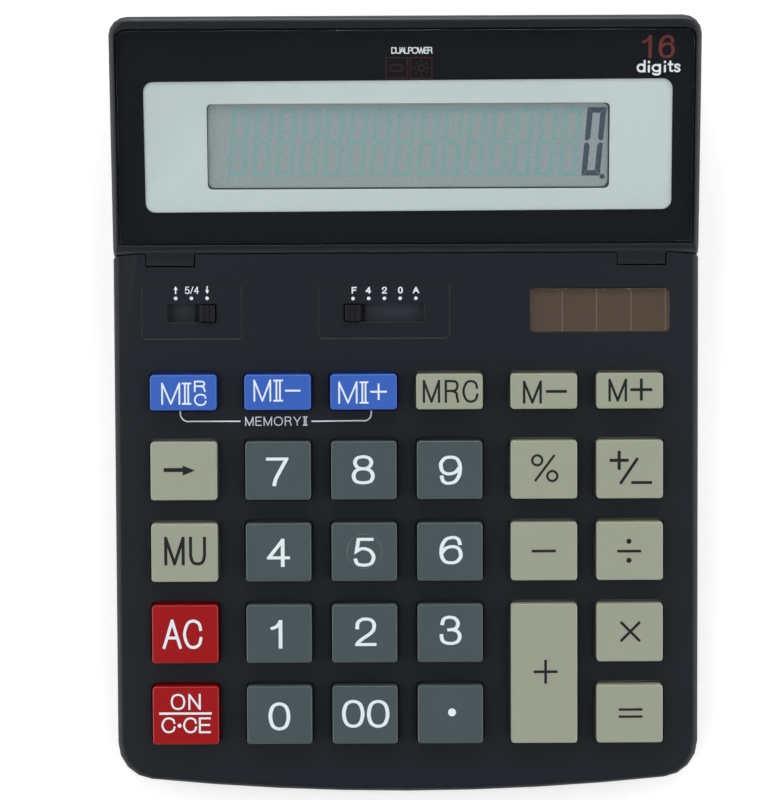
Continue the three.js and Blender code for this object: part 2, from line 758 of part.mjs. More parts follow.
function rearDeck() {
  const innerHalf = halfWidth - sideWall;
  const tongueHalf = innerHalf - gap;
  const front = seamY + gap;
  const plan = [
    new THREE.Vector2(-tongueHalf, tongueY), new THREE.Vector2(tongueHalf, tongueY),
    new THREE.Vector2(tongueHalf, front), new THREE.Vector2(halfWidth, front),
    ...roundRear(0, rearY, rearCornerRadius),
    new THREE.Vector2(-halfWidth, front), new THREE.Vector2(-tongueHalf, front),
  ];
  const innerPlan = [
    new THREE.Vector2(-innerHalf, tongueY - overrun), new THREE.Vector2(innerHalf, tongueY - overrun),
    ...roundRear(sideWall, rearY, rearCornerRadius),
  ];
  const tall = [0, hingeZ + headThickness];
  const outside = solid(prismX(deckProfile(0, tongueY), [-halfWidth, halfWidth]))
    .intersect(solid(prismZ(plan, tall)));
  const inside = solid(prismX(deckProfile(sideWall, tongueY - overrun), [-innerHalf, innerHalf]))
    .intersect(solid(prismZ(innerPlan, [-overrun, tall[1]])));
  const posts = eyes.flatMap((span) => [
    solid(box(span, [hingeY - postWidth / 2, hingeY + postWidth / 2],
      [troughHeight - coverWall / 2, hingeZ])),
    solid(rodX(eyeRadius, span, hingeY, hingeZ)),
  ]);
  const bores = eyes.map(([x0, x1]) => solid(rodX(pinRadius + gap / 2, [x0 - overrun, x1 + overrun],
    hingeY, hingeZ)));
  const bosses = rearScrews.map(([x, y]) => solid(rodZ(bossRadius, x, y,
    [bossSplit, deckRearHeight - (rearY - y) * Math.tan(headSlope) - coverWall], smallSides)));
  const pilots = rearScrews.map(([x, y]) => solid(rodZ(screwRadius + gap, x, y,
    [bossSplit - overrun, screwSeat + screwLength + gap], smallSides)));
  const slot = solid(box([-ribbonWidth / 2 - overrun, ribbonWidth / 2 + overrun],
    [ribbonSlotFromHinge, ribbonSlotFromHinge + ribbonSlotLength],
    [deckOffset - 2 * coverWall, headBottom]), headMatrix);
  return node('rear_deck', geometryOf(cut(
    joined([outside.subtract(inside), ...posts, ...bosses]), [...bores, ...pilots, slot],
  )), blackPlastic);
}

function hingePin(name, [x0, x1]) {
  const half = (x1 - x0) / 2 + gap + eyeWidth;
  const middle = (x0 + x1) / 2;
  return node(name, geometryOf(solid(rodX(pinRadius, [middle - half, middle + half],
    hingeY, hingeZ))), steel);
}

// Battery bay and door, along x near the rear edge

const doorTop = footHeight + doorThickness;
const bayY = rearY - bayFromRear;
const cellZ = doorTop + gap + cellRadius;
const bayHalf = cellLength / 2 + cellNubLength + contactThickness + 3 * gap;
const bayRadius = cellRadius + gap;
const doorHalf = bayHalf + bayWall + doorMargin;
const doorFrontY = bayY - bayRadius - doorMargin;
const platformHeight = doorTop + gap + floorThickness;

function bayArch(radius, half, bottom) {
  const over = solid(rodX(radius, [-half, half], bayY, cellZ));
  const legs = solid(box([-half, half], [bayY - radius, bayY + radius], [bottom, cellZ]));
  return over.add(legs);
}

// The bottom cover is a tray with the battery bay, screw bosses, board posts and foot pockets
function bottomCover() {
  const rim = partingHeight - gap / 2;
  const outside = solid(loft([
    ringAt(bodyPlan(bottomChamfer), () => footHeight),
    ringAt(bodyPlan(0), () => footHeight + bottomChamfer),
    ringAt(bodyPlan(0), () => rim),
  ]));
  const inside = solid(loft([
    ringAt(bodyPlan(sideWall), () => floorTop),
    ringAt(bodyPlan(sideWall), () => rim + overrun),
  ]));
  const bosses = [...frontScrews, ...rearScrews].map(([x, y]) => solid(
    rodZ(screwWellRadius + bossWall, x, y, [floorTop - floorThickness / 2, rim], smallSides)));
  const wells = [...frontScrews, ...rearScrews].flatMap(([x, y]) => [
    solid(rodZ(screwWellRadius, x, y, [footHeight - overrun, screwSeat], smallSides)),
    solid(rodZ(screwRadius + gap, x, y, [footHeight, rim + overrun], smallSides)),
  ]);
  const pockets = feet.map(([x, y]) => solid(rodZ(footRadius + gap, x, y,
    [footHeight - overrun, footHeight + footPocketDepth])));
  const postRows = [rows[0], slotY];
  const posts = postRows.flatMap((y) => [-1, 1].map((side) => solid(
    rodZ(boardPostRadius, side * boardPostSpacing, y, [-2 * deckFrontHeight, boardBottom - gap],
      smallSides), deckMatrix)));
  const underFloor = solid(box([-halfWidth, halfWidth], [frontY, rearY],
    [-2 * deckFrontHeight, floorTop - floorThickness / 2]));
  const frontBay = bayY - bayRadius - bayWall;
  const platform = solid(box([-doorHalf - doorMargin, doorHalf + doorMargin],
    [doorFrontY - doorMargin, rearY - sideWall / 2], [footHeight, platformHeight]));
  const shell = outside.subtract(inside).add(
    platform.intersect(solid(prismZ(bodyPlan(sideWall / 2), [0, platformHeight]))));
  const bay = bayArch(bayRadius + bayWall, bayHalf + bayWall, platformHeight - floorThickness / 2);
  const room = bayArch(bayRadius, bayHalf, doorTop);
  const tails = [-1, 1].map((side) => solid(box(
    side < 0 ? [-bayHalf - bayWall - overrun, -bayHalf + overrun]
      : [bayHalf - overrun, bayHalf + bayWall + overrun],
    [bayY - contactTailWidth / 2 - gap, bayY + contactTailWidth / 2 + gap],
    [platformHeight, platformHeight + contactThickness + 2 * gap],
  )));
  const past = rearY + overrun;
  const doorWay = [
    solid(box([-doorHalf - gap, doorHalf + gap], [doorFrontY - gap, past],
      [footHeight - overrun, doorTop + gap])),
    solid(box([-doorHalf - doorTongue - gap, doorHalf + doorTongue + gap],
      [doorFrontY - gap, past], [footHeight + doorLip, doorTop + gap])),
    solid(box([-doorHalf - gap, doorHalf + gap], [rearY - sideWall - gap, past],
      [footHeight, rim + overrun])),
    solid(box([-doorHalf - gap, doorHalf + gap], [bayY + bayRadius + bayWall, past],
      [footHeight, rim + overrun])),
  ];
  const frontLedge = solid(box([-bayHalf, bayHalf], [frontBay, frontBay + bayWall],
    [doorTop + gap, cellZ]));
  return node('bottom_cover', geometryOf(cut(
    joined([cut(joined([shell, ...bosses, bay, frontLedge, ...posts]),
      [underFloor.subtract(outside)])]),
    [room, ...tails, ...doorWay, ...wells, ...pockets],
  )), blackPlastic);
}

// The door slides out to the rear on two side tongues and carries its part of the rear wall
function batteryDoor() {
  const back = rearY - gap;
  const tongues = solid(box([-doorHalf - doorTongue, doorHalf + doorTongue],
    [doorFrontY, rearY - sideWall - bottomChamfer], [footHeight + doorLip + gap, doorTop]));
  const plate = solid(prismX([
    [doorFrontY, footHeight], [back - bottomChamfer, footHeight],
    [back, footHeight + bottomChamfer], [back, partingHeight - gap],
    [back - sideWall, partingHeight - gap], [back - sideWall, doorTop], [doorFrontY, doorTop],
  ], [-doorHalf, doorHalf]));
  const gripStart = doorFrontY + 2 * doorMargin;
  const grips = Array.from({ length: doorGripCount }, (_, i) => {
    const y = gripStart + i * doorGripPitch;
    return solid(box([-cellRadius, cellRadius], [y, y + doorGripPitch / 2],
      [footHeight - overrun, footHeight + doorGripDepth]));
  });
  return node('battery_door', geometryOf(cut(plate.add(tongues), grips)), blackPlastic);
}

function batteryCell() {
  const half = cellLength / 2;
  const jacket = solid(rodX(cellRadius, [-half, half - cellNubLength], bayY, cellZ));
  const nub = solid(rodX(cellNubRadius, [half - 2 * cellNubLength, half], bayY, cellZ, smallSides));
  return node('battery_cell', geometryOf(jacket.add(nub)), cellJacket);
}

// A spring-steel leaf against the end of the cell, with a solder tail through the bay's end wall
function batteryContact(name, side) {
  const face = cellLength / 2 + gap;
  const span = (x0, x1) => (side < 0 ? [-x1, -x0] : [x0, x1]);
  const low = platformHeight + gap;
  const leaf = solid(box(span(face, face + contactThickness),
    [bayY - contactWidth / 2, bayY + contactWidth / 2], [low, cellZ + cellRadius / 2]));
  const tail = solid(box(span(face, bayHalf + bayWall + contactTailLength),
    [bayY - contactTailWidth / 2, bayY + contactTailWidth / 2], [low, low + contactThickness]));
  return node(name, geometryOf(leaf.add(tail)), steel);
}

// Feet and screws

function footNodes() {
  const names = ['foot_front_left', 'foot_rear_left', 'foot_front_right', 'foot_rear_right'];
  const top = footHeight + footPocketDepth - gap;
  const edge = footRadius - footHeight / 2;
  return names.map((name, i) => {
    const profile = [[0, 0], [edge, 0], [footRadius, footHeight / 2], [footRadius, top], [0, top]]
      .map(([r, z]) => new THREE.Vector2(r, z));
    const geometry = new THREE.LatheGeometry(profile, roundSides).rotateX(Math.PI / 2);
    const mesh = node(name, geometryOf(solid(geometry)), rubber);
    mesh.position.set(feet[i][0], feet[i][1], 0);
    return mesh;
  });
}

// A pan-head screw that points up, with the underside of its head at the height of its own origin
function screw(name, length, x, y, z) {
  const profile = [[0, -screwHeadHeight], [screwHeadRadius, -screwHeadHeight],
    [screwHeadRadius, 0], [screwRadius, 0], [screwRadius, length - screwRadius], [0, length]]
    .map(([r, h]) => new THREE.Vector2(r, h));
  const geometry = new THREE.LatheGeometry(profile, smallSides).rotateX(Math.PI / 2);
  const mesh = node(name, geometryOf(solid(geometry)), steel);
  mesh.position.set(x, y, z);
  return mesh;
}

function bodyScrews() {
  return [...frontScrews, ...rearScrews].map(([x, y], i) => {
    const name = `body_screw_${['front_left', 'front_right', 'rear_left', 'rear_right'][i]}`;
    return screw(name, screwLength - gap, x, y, screwSeat - gap);
  });
}

// Display head, in the frame on the hinge axis

const lensFront = lensFrontRim;
const lensY = lensFront + lensDepth / 2;
const lensWidth = 2 * (halfWidth - lensSideRim);
const windowY = windowFromFront + windowDepth / 2;
const lcdWindowY = lcdWindowFromFront + lcdWindowDepth / 2;
const headScrewX = halfWidth - lensSideRim - bossRadius - screwHeadRadius;
const headScrewY = lensFront + lensDepth - bossRadius - screwHeadRadius;
const headSplit = headBottom + headWall + screwHeadHeight + gap;

function headPlan(inset, front, z) {
  const back = headDepth - (rollRadius - z) * Math.tan(headSlope);
  return [new THREE.Vector2(-halfWidth + inset, front), new THREE.Vector2(halfWidth - inset, front),
    ...roundRear(inset, back, rearCornerRadius)];
}

function headRing(inset, front, z) {
  return ringAt(headPlan(inset, front, z), () => z);
}

function lensOutline(shrink) {
  const half = lensWidth / 2 - shrink;
  const back = lensFront + lensDepth - shrink;
  const radius = lensCornerRadius - shrink;
  return [
    new THREE.Vector2(-half, lensFront + shrink), new THREE.Vector2(half, lensFront + shrink),
    ...arc(half - radius, back - radius, radius, 0, Math.PI / 2, cornerSteps),
    ...arc(-half + radius, back - radius, radius, Math.PI / 2, Math.PI, cornerSteps),
  ];
}

// The hinge roll has rounded ends, like the edge of the frame that it runs into
function hingeRoll() {
  const edge = headEdgeRadius;
  const end = quarterSteps(edgeSteps).map((angle) => [
    rollRadius - edge * (1 - Math.cos(angle)), halfWidth - edge * (1 - Math.sin(angle))]);
  const profile = [
    [0, -halfWidth], ...end.map(([r, x]) => [r, -x]).reverse(), ...end, [0, halfWidth],
  ].map(([r, x]) => new THREE.Vector2(r, x));
  return solid(new THREE.LatheGeometry(profile, rollSides).rotateZ(-Math.PI / 2));
}

// Tabs reach forward from the roll and lie flush in the notches of the cover
function hingeTab(span) {
  const inner = hingeY - rollRadius / 4;
  const points = [
    [tipY, bandHeight(tipY) - tabThickness], [hingeY - rollRadius + tabThickness / 4, hingeZ],
    [inner, hingeZ], [inner, bandHeight(inner)], [tipY, bandHeight(tipY)],
  ];
  return solid(prismX(points, span), headMatrix.clone().invert());
}

function displayFrame() {
  const skirt = headParting + gap / 2;
  const bevel = quarterSteps(edgeSteps).map((angle) => headRing(
    headEdgeRadius * (1 - Math.cos(angle)), 0, rollRadius - headEdgeRadius * (1 - Math.sin(angle))));
  const outside = solid(loft([headRing(0, 0, skirt), ...bevel]));
  const inside = solid(loft([
    headRing(headWall, -overrun, skirt - overrun), headRing(headWall, -overrun, frameBottom)]));
  const seat = solid(prismZ(lensOutline(0), [lensSeat, rollRadius + overrun]));
  const opening = solid(prismZ(roundedRectangle(windowWidth + 2 * (maskLap + gap),
    windowDepth + 2 * (maskLap + gap), lcdWindowCorner, keyCornerSteps, 0, windowY),
  [frameBottom - overrun, rollRadius]));
  const bosses = [-1, 1].map((side) => solid(rodZ(bossRadius, side * headScrewX, headScrewY,
    [headSplit + gap, frameBottom + lensLedge / 2], smallSides)));
  const pilots = [-1, 1].map((side) => solid(rodZ(screwRadius + gap, side * headScrewX, headScrewY,
    [headSplit, headBottom + headWall + headScrewLength + gap], smallSides)));
  const arms = tabs.map(hingeTab);
  const past = rollRadius + overrun;
  const postRoom = [[-past, -past], [past, -past], [past, 0], [0, 0], [0, rollCutRise],
    [-past, rollCutRise]];
  const sockets = eyes.flatMap(([x0, x1]) => [
    solid(rodX(rollRadius - rollShell, [x0 - gap, x1 + gap], 0, 0)),
    solid(prismX(postRoom, [x0 - gap, x1 + gap])),
  ]);
  const bores = tabs.map(([x0, x1]) => solid(rodX(pinRadius + gap / 2,
    [x0 - 2 * eyeWidth, x1 + 2 * eyeWidth], 0, 0)));
  const shell = joined([outside.subtract(inside), hingeRoll(), ...arms, ...bosses]);
  return node('display_frame', geometryOf(cut(shell, [
    seat, opening, ...pilots, ...sockets, ...bores])), blackPlastic);
}

// A tray behind the display, with ribs that hold the panel up to its window
function displayBackCover() {
  const top = headParting - gap / 2;
  const front = backCoverLead;
  const outside = solid(loft([
    headRing(headEdgeRadius, front + headEdgeRadius, headBottom),
    headRing(0, front, headBottom + headEdgeRadius),
    headRing(0, front, top),
  ]));
  const inside = solid(loft([
    headRing(headWall, front + headWall, headBottom + headWall),
    headRing(headWall, front + headWall, top + overrun),
  ]));
  const ribs = [lcdWindowFromFront, lcdWindowFromFront + lcdWindowDepth].map((y) => solid(
    box([lcdX - lcdWindowWidth / 2, lcdX + lcdWindowWidth / 2],
      [y - lcdRibThickness / 2, y + lcdRibThickness / 2],
      [headBottom + headWall / 2, lcdBottom - gap])));
  const bosses = [-1, 1].map((side) => solid(rodZ(screwWellRadius + bossWall,
    side * headScrewX, headScrewY, [headBottom + headWall / 2, headSplit], smallSides)));
  const seat = headBottom + screwHeadHeight + gap;
  const wells = [-1, 1].flatMap((side) => [
    solid(rodZ(screwWellRadius, side * headScrewX, headScrewY,
      [headBottom - overrun, seat], smallSides)),
    solid(rodZ(screwRadius + gap, side * headScrewX, headScrewY,
      [headBottom, headSplit + overrun], smallSides)),
  ]);
  const roll = solid(rodX(rollRadius + gap, [-halfWidth - overrun, halfWidth + overrun], 0, 0));
  const slot = solid(box([-ribbonWidth / 2 - overrun, ribbonWidth / 2 + overrun],
    [ribbonSlotFromHinge, ribbonSlotFromHinge + ribbonSlotLength],
    [headBottom - overrun, headBottom + 2 * headWall]));
  return node('display_back_cover', geometryOf(cut(
    joined([outside.subtract(inside), ...ribs, ...bosses]), [...wells, roll, slot],
  )), blackPlastic);
}

function displayLens() {
  return node('display_lens', geometryOf(solid(
    prismZ(lensOutline(gap), [lensBottom, rollRadius]))), clearPlastic);
}

// The pale mask fills the frame's opening and leaves the window over the panel
function lcdMask() {
  const plate = solid(prismZ(roundedRectangle(windowWidth + 2 * maskLap, windowDepth + 2 * maskLap,
    lcdWindowCorner - gap, keyCornerSteps, 0, windowY), [maskBottom, lensSeat]));
  const hole = solid(prismZ(roundedRectangle(lcdWindowWidth, lcdWindowDepth, lcdWindowCorner,
    cornerSteps, lcdX, lcdWindowY), [maskBottom - overrun, lensSeat + overrun]));
  return node('lcd_mask', geometryOf(plate.subtract(hole)), palePlastic);
}

// Two glass plates, of which the rear one reaches further forward with the contacts
function lcdPanel() {
  const half = lcdWindowWidth / 2 + lcdLap;
  const back = lcdWindowFromFront + lcdWindowDepth + lcdLap;
  const front = lcdWindowFromFront - lcdLap;
  const middle = lcdTop - lcdGlassThickness;
  return node('lcd_panel', geometryOf(joined([
    solid(box([lcdX - half, lcdX + half], [front, back], [middle, lcdTop])),
    solid(box([lcdX - half, lcdX + half], [front - lcdContactLap, back], [lcdBottom, middle])),
  ])), lcdGrey);
}

function headScrews() {
  return [-1, 1].map((side, i) => screw(`display_screw_${['left', 'right'][i]}`,
    headScrewLength - gap, side * headScrewX, headScrewY, headBottom + screwHeadHeight));
}

// The ribbon lies under the panel's contact edge, runs down through both slots and under the rib
// of the cover, and ends flat under the main board
function displayRibbon() {
  const half = ribbonThickness / 2;
  const slot = ribbonSlotFromHinge + ribbonSlotLength / 2;
  const contact = lcdWindowFromFront - lcdLap - lcdContactLap;
  const underPanel = lcdBottom - gap - half;
  const underTongue = tongueBottom - gap - ribbonDrop;
  const underBoard = (y) => {
    const point = new THREE.Vector3(0, y, boardBottom - gap - half).applyMatrix4(deckMatrix);
    return [point.y, point.z];
  };
  const route = [
    fromHead(contact + lcdContactLap, underPanel),
    fromHead(contact, underPanel),
    fromHead(slot, headBottom + ribbonSlotLead),
    fromHead(slot, deckOffset - coverWall - ribbonSlotLead),
    [hingeY, underTongue],
    [ribFrontY, underTongue],
    underBoard(boardBack - ribbonRun),
    underBoard(boardBack - ribbonRun - ribbonPad),
  ].map(([y, z]) => new THREE.Vector3(0, y, z));
  const path = new THREE.CatmullRomCurve3(route, false, 'centripetal');
  const section = new THREE.Shape([
    new THREE.Vector2(-ribbonWidth / 2, -half), new THREE.Vector2(ribbonWidth / 2, -half),
    new THREE.Vector2(ribbonWidth / 2, half), new THREE.Vector2(-ribbonWidth / 2, half),
  ]);
  const geometry = new THREE.ExtrudeGeometry(section, { steps: ribbonSteps, extrudePath: path });
  return node('display_ribbon', geometryOf(solid(geometry)), ribbonAmber);
}

// Assembly

const deck = new THREE.Group();
deck.applyMatrix4(deckMatrix);
deck.add(...keyNodes(), rubberKeypad(), mainBoard(), solarWindow(), solarCell(),
  ...switches.map(switchKnob));

const head = new THREE.Group();
head.applyMatrix4(headMatrix);
head.add(displayFrame(), displayBackCover(), displayLens(), lcdMask(), lcdPanel(), ...headScrews());

const calculator = new THREE.Group();
calculator.add(deck, head, topCover(), rearDeck(), bottomCover(), batteryDoor(), batteryCell(),
  batteryContact('battery_contact_positive', 1), batteryContact('battery_contact_negative', -1),
  hingePin('hinge_pin_left', tabs[0]), hingePin('hinge_pin_right', tabs[1]), displayRibbon(),
  ...footNodes(), ...bodyScrews());

export default calculator;
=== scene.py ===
import json
import math

import bmesh
import bpy
import numpy as np
from mathutils import Matrix, Vector
from mathutils.geometry import delaunay_2d_cdt


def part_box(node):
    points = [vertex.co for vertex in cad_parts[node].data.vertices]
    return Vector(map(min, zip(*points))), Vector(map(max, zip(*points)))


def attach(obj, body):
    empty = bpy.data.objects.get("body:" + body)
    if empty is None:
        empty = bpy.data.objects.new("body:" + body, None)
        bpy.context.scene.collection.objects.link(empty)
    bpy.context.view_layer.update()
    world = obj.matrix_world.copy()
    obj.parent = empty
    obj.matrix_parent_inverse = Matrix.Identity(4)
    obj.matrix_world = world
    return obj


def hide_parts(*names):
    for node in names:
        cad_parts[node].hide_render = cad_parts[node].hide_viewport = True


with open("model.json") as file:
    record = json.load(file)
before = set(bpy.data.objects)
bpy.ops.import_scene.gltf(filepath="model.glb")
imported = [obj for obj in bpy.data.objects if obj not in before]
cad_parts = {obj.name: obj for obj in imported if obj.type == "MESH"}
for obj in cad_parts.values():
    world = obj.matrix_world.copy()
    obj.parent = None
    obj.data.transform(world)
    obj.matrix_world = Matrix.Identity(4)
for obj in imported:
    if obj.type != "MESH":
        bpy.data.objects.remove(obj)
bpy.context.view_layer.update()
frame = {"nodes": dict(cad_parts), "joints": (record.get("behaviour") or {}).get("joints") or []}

# The viewpoint: the calculator lies on a white table and is looked at from straight above,
# from 0.9 m, a little to its left. The long side of the picture is its height.
def in_scene(name, data):
    """A new object in the scene."""
    thing = bpy.data.objects.new(name, data)
    bpy.context.scene.collection.objects.link(thing)
    return thing


mm = 0.001
sensor, focal_pixels, picture_height = 36, 3302, 800
eye = in_scene("eye", bpy.data.cameras.new("eye"))
eye.data.lens = sensor * focal_pixels / picture_height
eye.data.sensor_width = sensor
eye.data.clip_start = 0.01
eye.location = Vector((-4.25, 2.18, 900)) * mm
eye.rotation_euler = (0, 0, math.radians(-0.25))
bpy.context.scene.camera = eye


# The body and the display head are injection-moulded shells in black ABS: top cover, rear deck,
# bottom cover with its battery door, display frame and display back. The tool is spark-eroded to
# a fine satin, and every outer edge is slightly broken, which shows as thin soft light lines.
def linear(code):
    """An sRGB hex colour as linear RGBA."""
    shares = [int(code[i:i + 2], 16) / 255 for i in (1, 3, 5)]
    return [c / 12.92 if c <= 0.04045 else ((c + 0.055) / 1.055) ** 2.4 for c in shares] + [1]


def add(tree, kind, inputs=(), **settings):
    """Adds a node with its settings, and fills its inputs with values or links."""
    node = tree.nodes.new(kind)
    for name, value in settings.items():
        setattr(node, name, value)
    for name, value in dict(inputs).items():
        if isinstance(value, bpy.types.NodeSocket):
            tree.links.new(value, node.inputs[name])
        else:
            node.inputs[name].default_value = value
    return node


def new_finish(name):
    """An empty material, its node tree and the object's own coordinates."""
    finish = bpy.data.materials.new(name)
    finish.use_nodes = True
    finish.node_tree.nodes.clear()
    where = add(finish.node_tree, "ShaderNodeTexCoord").outputs["Object"]
    return finish, finish.node_tree, where


def shown(tree, shader):
    """Leads a shader to the surface of the material."""
    add(tree, "ShaderNodeOutputMaterial", {"Surface": shader})


def moulded(name, dark, light, rough, grain, depth, specular=0.5, metal=0.0):
    """A cloudy blend of two near shades with a skin of small grains: size and depth in mm."""
    finish, tree, where = new_finish(name)
    cloud_size, sheen_change = 22, 0.05
    cloud = add(tree, "ShaderNodeTexNoise", {"Vector": where, "Scale": 1 / (cloud_size * mm),
                                             "Detail": 3, "Roughness": 0.6})
    skin = add(tree, "ShaderNodeTexNoise", {"Vector": where, "Scale": 1 / (grain * mm)})
    shade = add(tree, "ShaderNodeMix", {0: cloud.outputs["Fac"], 6: linear(dark),
                                        7: linear(light)}, data_type="RGBA")
    sheen = add(tree, "ShaderNodeMapRange", {
        "Value": skin.outputs["Fac"], "To Min": rough - sheen_change,
        "To Max": rough + sheen_change})
    bump = add(tree, "ShaderNodeBump", {"Height": skin.outputs["Fac"], "Distance": depth * mm,
                                        "Strength": 0.6})
    shown(tree, add(tree, "ShaderNodeBsdfPrincipled", {
        "Base Color": shade.outputs[2], "Roughness": sheen.outputs["Result"],
        "IOR": 1.5 if metal else 1.53, "Specular IOR Level": specular, "Metallic": metal,
        "Normal": bump.outputs["Normal"]}).outputs["BSDF"])
    return finish


def placed(name, mesh, body, finishes, slot, *stands_for):
    """An object from a finished mesh, on its body, with its finishes. The record slot is not used.
    """
    piece = in_scene(name, mesh)
    mesh.name = name
    mesh.materials.clear()
    for finish in finishes:
        mesh.materials.append(finish)
    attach(piece, body)
    if stands_for:
        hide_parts(*stands_for)
    return piece


def as_mesh(work):
    """Ends the work on a mesh and gives the mesh."""
    mesh = bpy.data.meshes.new("piece")
    work.to_mesh(mesh)
    work.free()
    return mesh


def merged(node):
    """A copy of a CAD node's mesh with its loose triangles joined and flat areas in one face."""
    work = bmesh.new()
    work.from_mesh(frame["nodes"][node].data)
    bmesh.ops.remove_doubles(work, verts=work.verts, dist=2e-6)
    bmesh.ops.dissolve_limit(work, angle_limit=math.radians(0.6), verts=work.verts,
                             edges=work.edges)
    return as_mesh(work)


def soften(piece, width):
    """Breaks the sharp edges by that width in mm and shades everything flatter as smooth."""
    smooth_turn, sharp_turn = math.radians(38), math.radians(50)
    work = bmesh.new()
    work.from_mesh(piece.data)
    broken = work.edges.layers.float.new("bevel_weight_edge")
    for edge in work.edges:
        angle = edge.calc_face_angle(math.pi)
        edge.smooth = angle < smooth_turn
        # a step that is lower than the broken edge is wide stays crisp
        room = min([face.calc_area() / edge.calc_length() for face in edge.link_faces])
        edge[broken] = float(angle > sharp_turn and room > 2 * width * mm)
    for face in work.faces:
        face.smooth = True
    work.to_mesh(piece.data)
    work.free()
    edges = piece.modifiers.new("broken_edges", "BEVEL")
    edges.width = width * mm
    edges.segments = 2
    edges.limit_method = "WEIGHT"
    edges.use_clamp_overlap = False
    normals = piece.modifiers.new("flat_faces_stay_flat", "WEIGHTED_NORMAL")
    normals.keep_sharp = True


def reshaped(mesh, place, rule):
    """Moves the points of a mesh by a rule on their coordinates in mm, seen from a place."""
    back = place.inverted()
    for point in mesh.vertices:
        spot = back @ point.co / mm
        point.co = place @ (Vector(rule(*spot)) * mm)
    return mesh


# deck is the sloped top of the cover, with y from its front edge; head is the display's face,
# with y from the axis of its hinge
front_height, deck_slope, head_slope = 12.5, math.radians(3.8), math.radians(12.8)
front = Vector((0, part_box("top_cover")[0].y, front_height * mm))
deck = Matrix.Translation(front) @ Matrix.Rotation(deck_slope, 4, "X")
tilt = next(joint for joint in frame["joints"] if joint["name"] == "display_tilt")
head = Matrix.Translation(tilt["pos_m"]) @ Matrix.Rotation(head_slope, 4, "X")

# the slots of the two switches: middle, length and travel of the knob, on one line
slot_y = 128.7
slots = {"rounding_switch": (-57.05, 13.06, 8.36), "decimal_switch": (-5.85, 21.42, 16.72)}
field_floor = 0.15


def soft_band(x, y, z):
    """The band behind the keys runs out softly, and its sunk switch fields hold their marks."""
    side, soft_side, front, soft_front, field_side, near = 71.845, 75.6, 116.4, 115.4, 7.2, 0.05
    beside = min([abs(x - middle) - length / 2 for middle, length, _ in slots.values()])
    if 0.05 < z < 0.4 and 5.3 < y - slot_y < 7.2 and beside < field_side:
        y += 1
    if 0.05 < z < 0.2:
        z = field_floor
    if abs(z) < 0.02 and abs(abs(x) - side) < near and y > front - 0.4:
        x = math.copysign(soft_side, x)
    if abs(z) < 0.02 and abs(y - front) < near:
        y = soft_front
    return x, y, z


def round_rear(x, y, z):
    """The rear edge of the frame is rounder than its sides; a dark gap runs round the lens."""
    corner_x, corner_y, corner_radius, top = 72.845, 56.25, 5, 4.2
    side, rear = max(abs(x) - corner_x, 0), max(y - corner_y, 0)
    reach = math.hypot(side, rear)
    if z > 2.95 and 3.75 < reach:
        grow = 1 + 0.9 * rear / reach
        shift = (corner_radius - reach) * (grow - 1) / reach
        return x - math.copysign(side, x) * shift, y - rear * shift, top - (top - z) * grow
    seat_x, seat_front, seat_rear, seat_depth, wider = 75.8, 0.5, 57.45, 57, 1.003
    turned = math.hypot(max(abs(x) - 73.145, 0), max(y - 54.8, 0)) > 2.6
    if z > 2.65 and y > 0.4 and (abs(x) > seat_x or abs(y - seat_front) < 0.03
                                 or y > seat_rear or turned):
        return x * wider, 0.2 + (y - seat_front) * (seat_depth + 0.5) / seat_depth, z
    return x, y, z


shapes = {"top_cover": (deck, soft_band), "display_frame": (head, round_rear)}

# ABS, black, from a spark-eroded tool: satin, and a shade glossier on the display frame. The
# grain is drawn at 0.5 mm so that it still shows
satin_black = moulded("abs_satin_black", "#0b1118", "#0e141b", 0.4, 0.5, 0.01, specular=0.35)
frame_black = moulded("abs_frame_black", "#0c1118", "#0f141b", 0.36, 0.5, 0.006, specular=0.42)
for shell, body in (("top_cover", "body"), ("rear_deck", "body"), ("bottom_cover", "body"),
                    ("display_frame", "display"), ("display_back_cover", "display"),
                    ("battery_door", "battery_door")):
    mesh = merged(shell)
    if shell in shapes:
        reshaped(mesh, *shapes[shell])
    finish = frame_black if shell == "display_frame" else satin_black
    soften(placed(shell + "_shell", mesh, body, [finish], "black_plastic", shell), 0.08)


# Four feet of black thermoplastic rubber sit in shallow pockets of the bottom cover. They are
# moulded with a rounded rim, dull and a little dusty from the desk.
foot_rubber = moulded("tpe_foot_rubber", "#26282a", "#303234", 0.8, 0.35, 0.02, specular=0.35)
for corner in ("front_left", "rear_left", "front_right", "rear_right"):
    foot = "foot_" + corner
    soften(placed(foot + "_pad", merged(foot), "body", [foot_rubber], "rubber_foot", foot), 0.3)


# Zinc-plated self-tapping screws with pan heads and cross recesses hold the bottom cover and the
# back of the display head. They are cold-headed and rolled; one recipe makes each one from the
# side line of the screw, which it turns round the axis, and then drives the cross into the head.
def new_recipe(name, sizes):
    """A geometry tree with the object's mesh as input and named sizes; returns its parts."""
    tree = bpy.data.node_groups.new(name, "GeometryNodeTree")
    tree.interface.new_socket("Geometry", in_out="INPUT", socket_type="NodeSocketGeometry")
    named = {}
    for size, kind in sizes.items():
        item = tree.interface.new_socket(size, in_out="INPUT", socket_type="NodeSocket" + kind)
        named[size] = item.identifier
    tree.interface.new_socket("Geometry", in_out="OUTPUT", socket_type="NodeSocketGeometry")
    return tree, add(tree, "NodeGroupInput").outputs, named


def result(tree, geometry, finish):
    """Ends a recipe with real geometry and its material."""
    real = add(tree, "GeometryNodeRealizeInstances", {"Geometry": geometry})
    dressed = add(tree, "GeometryNodeSetMaterial", {"Geometry": real.outputs[0],
                                                    "Material": finish})
    add(tree, "NodeGroupOutput", {0: dressed.outputs[0]})


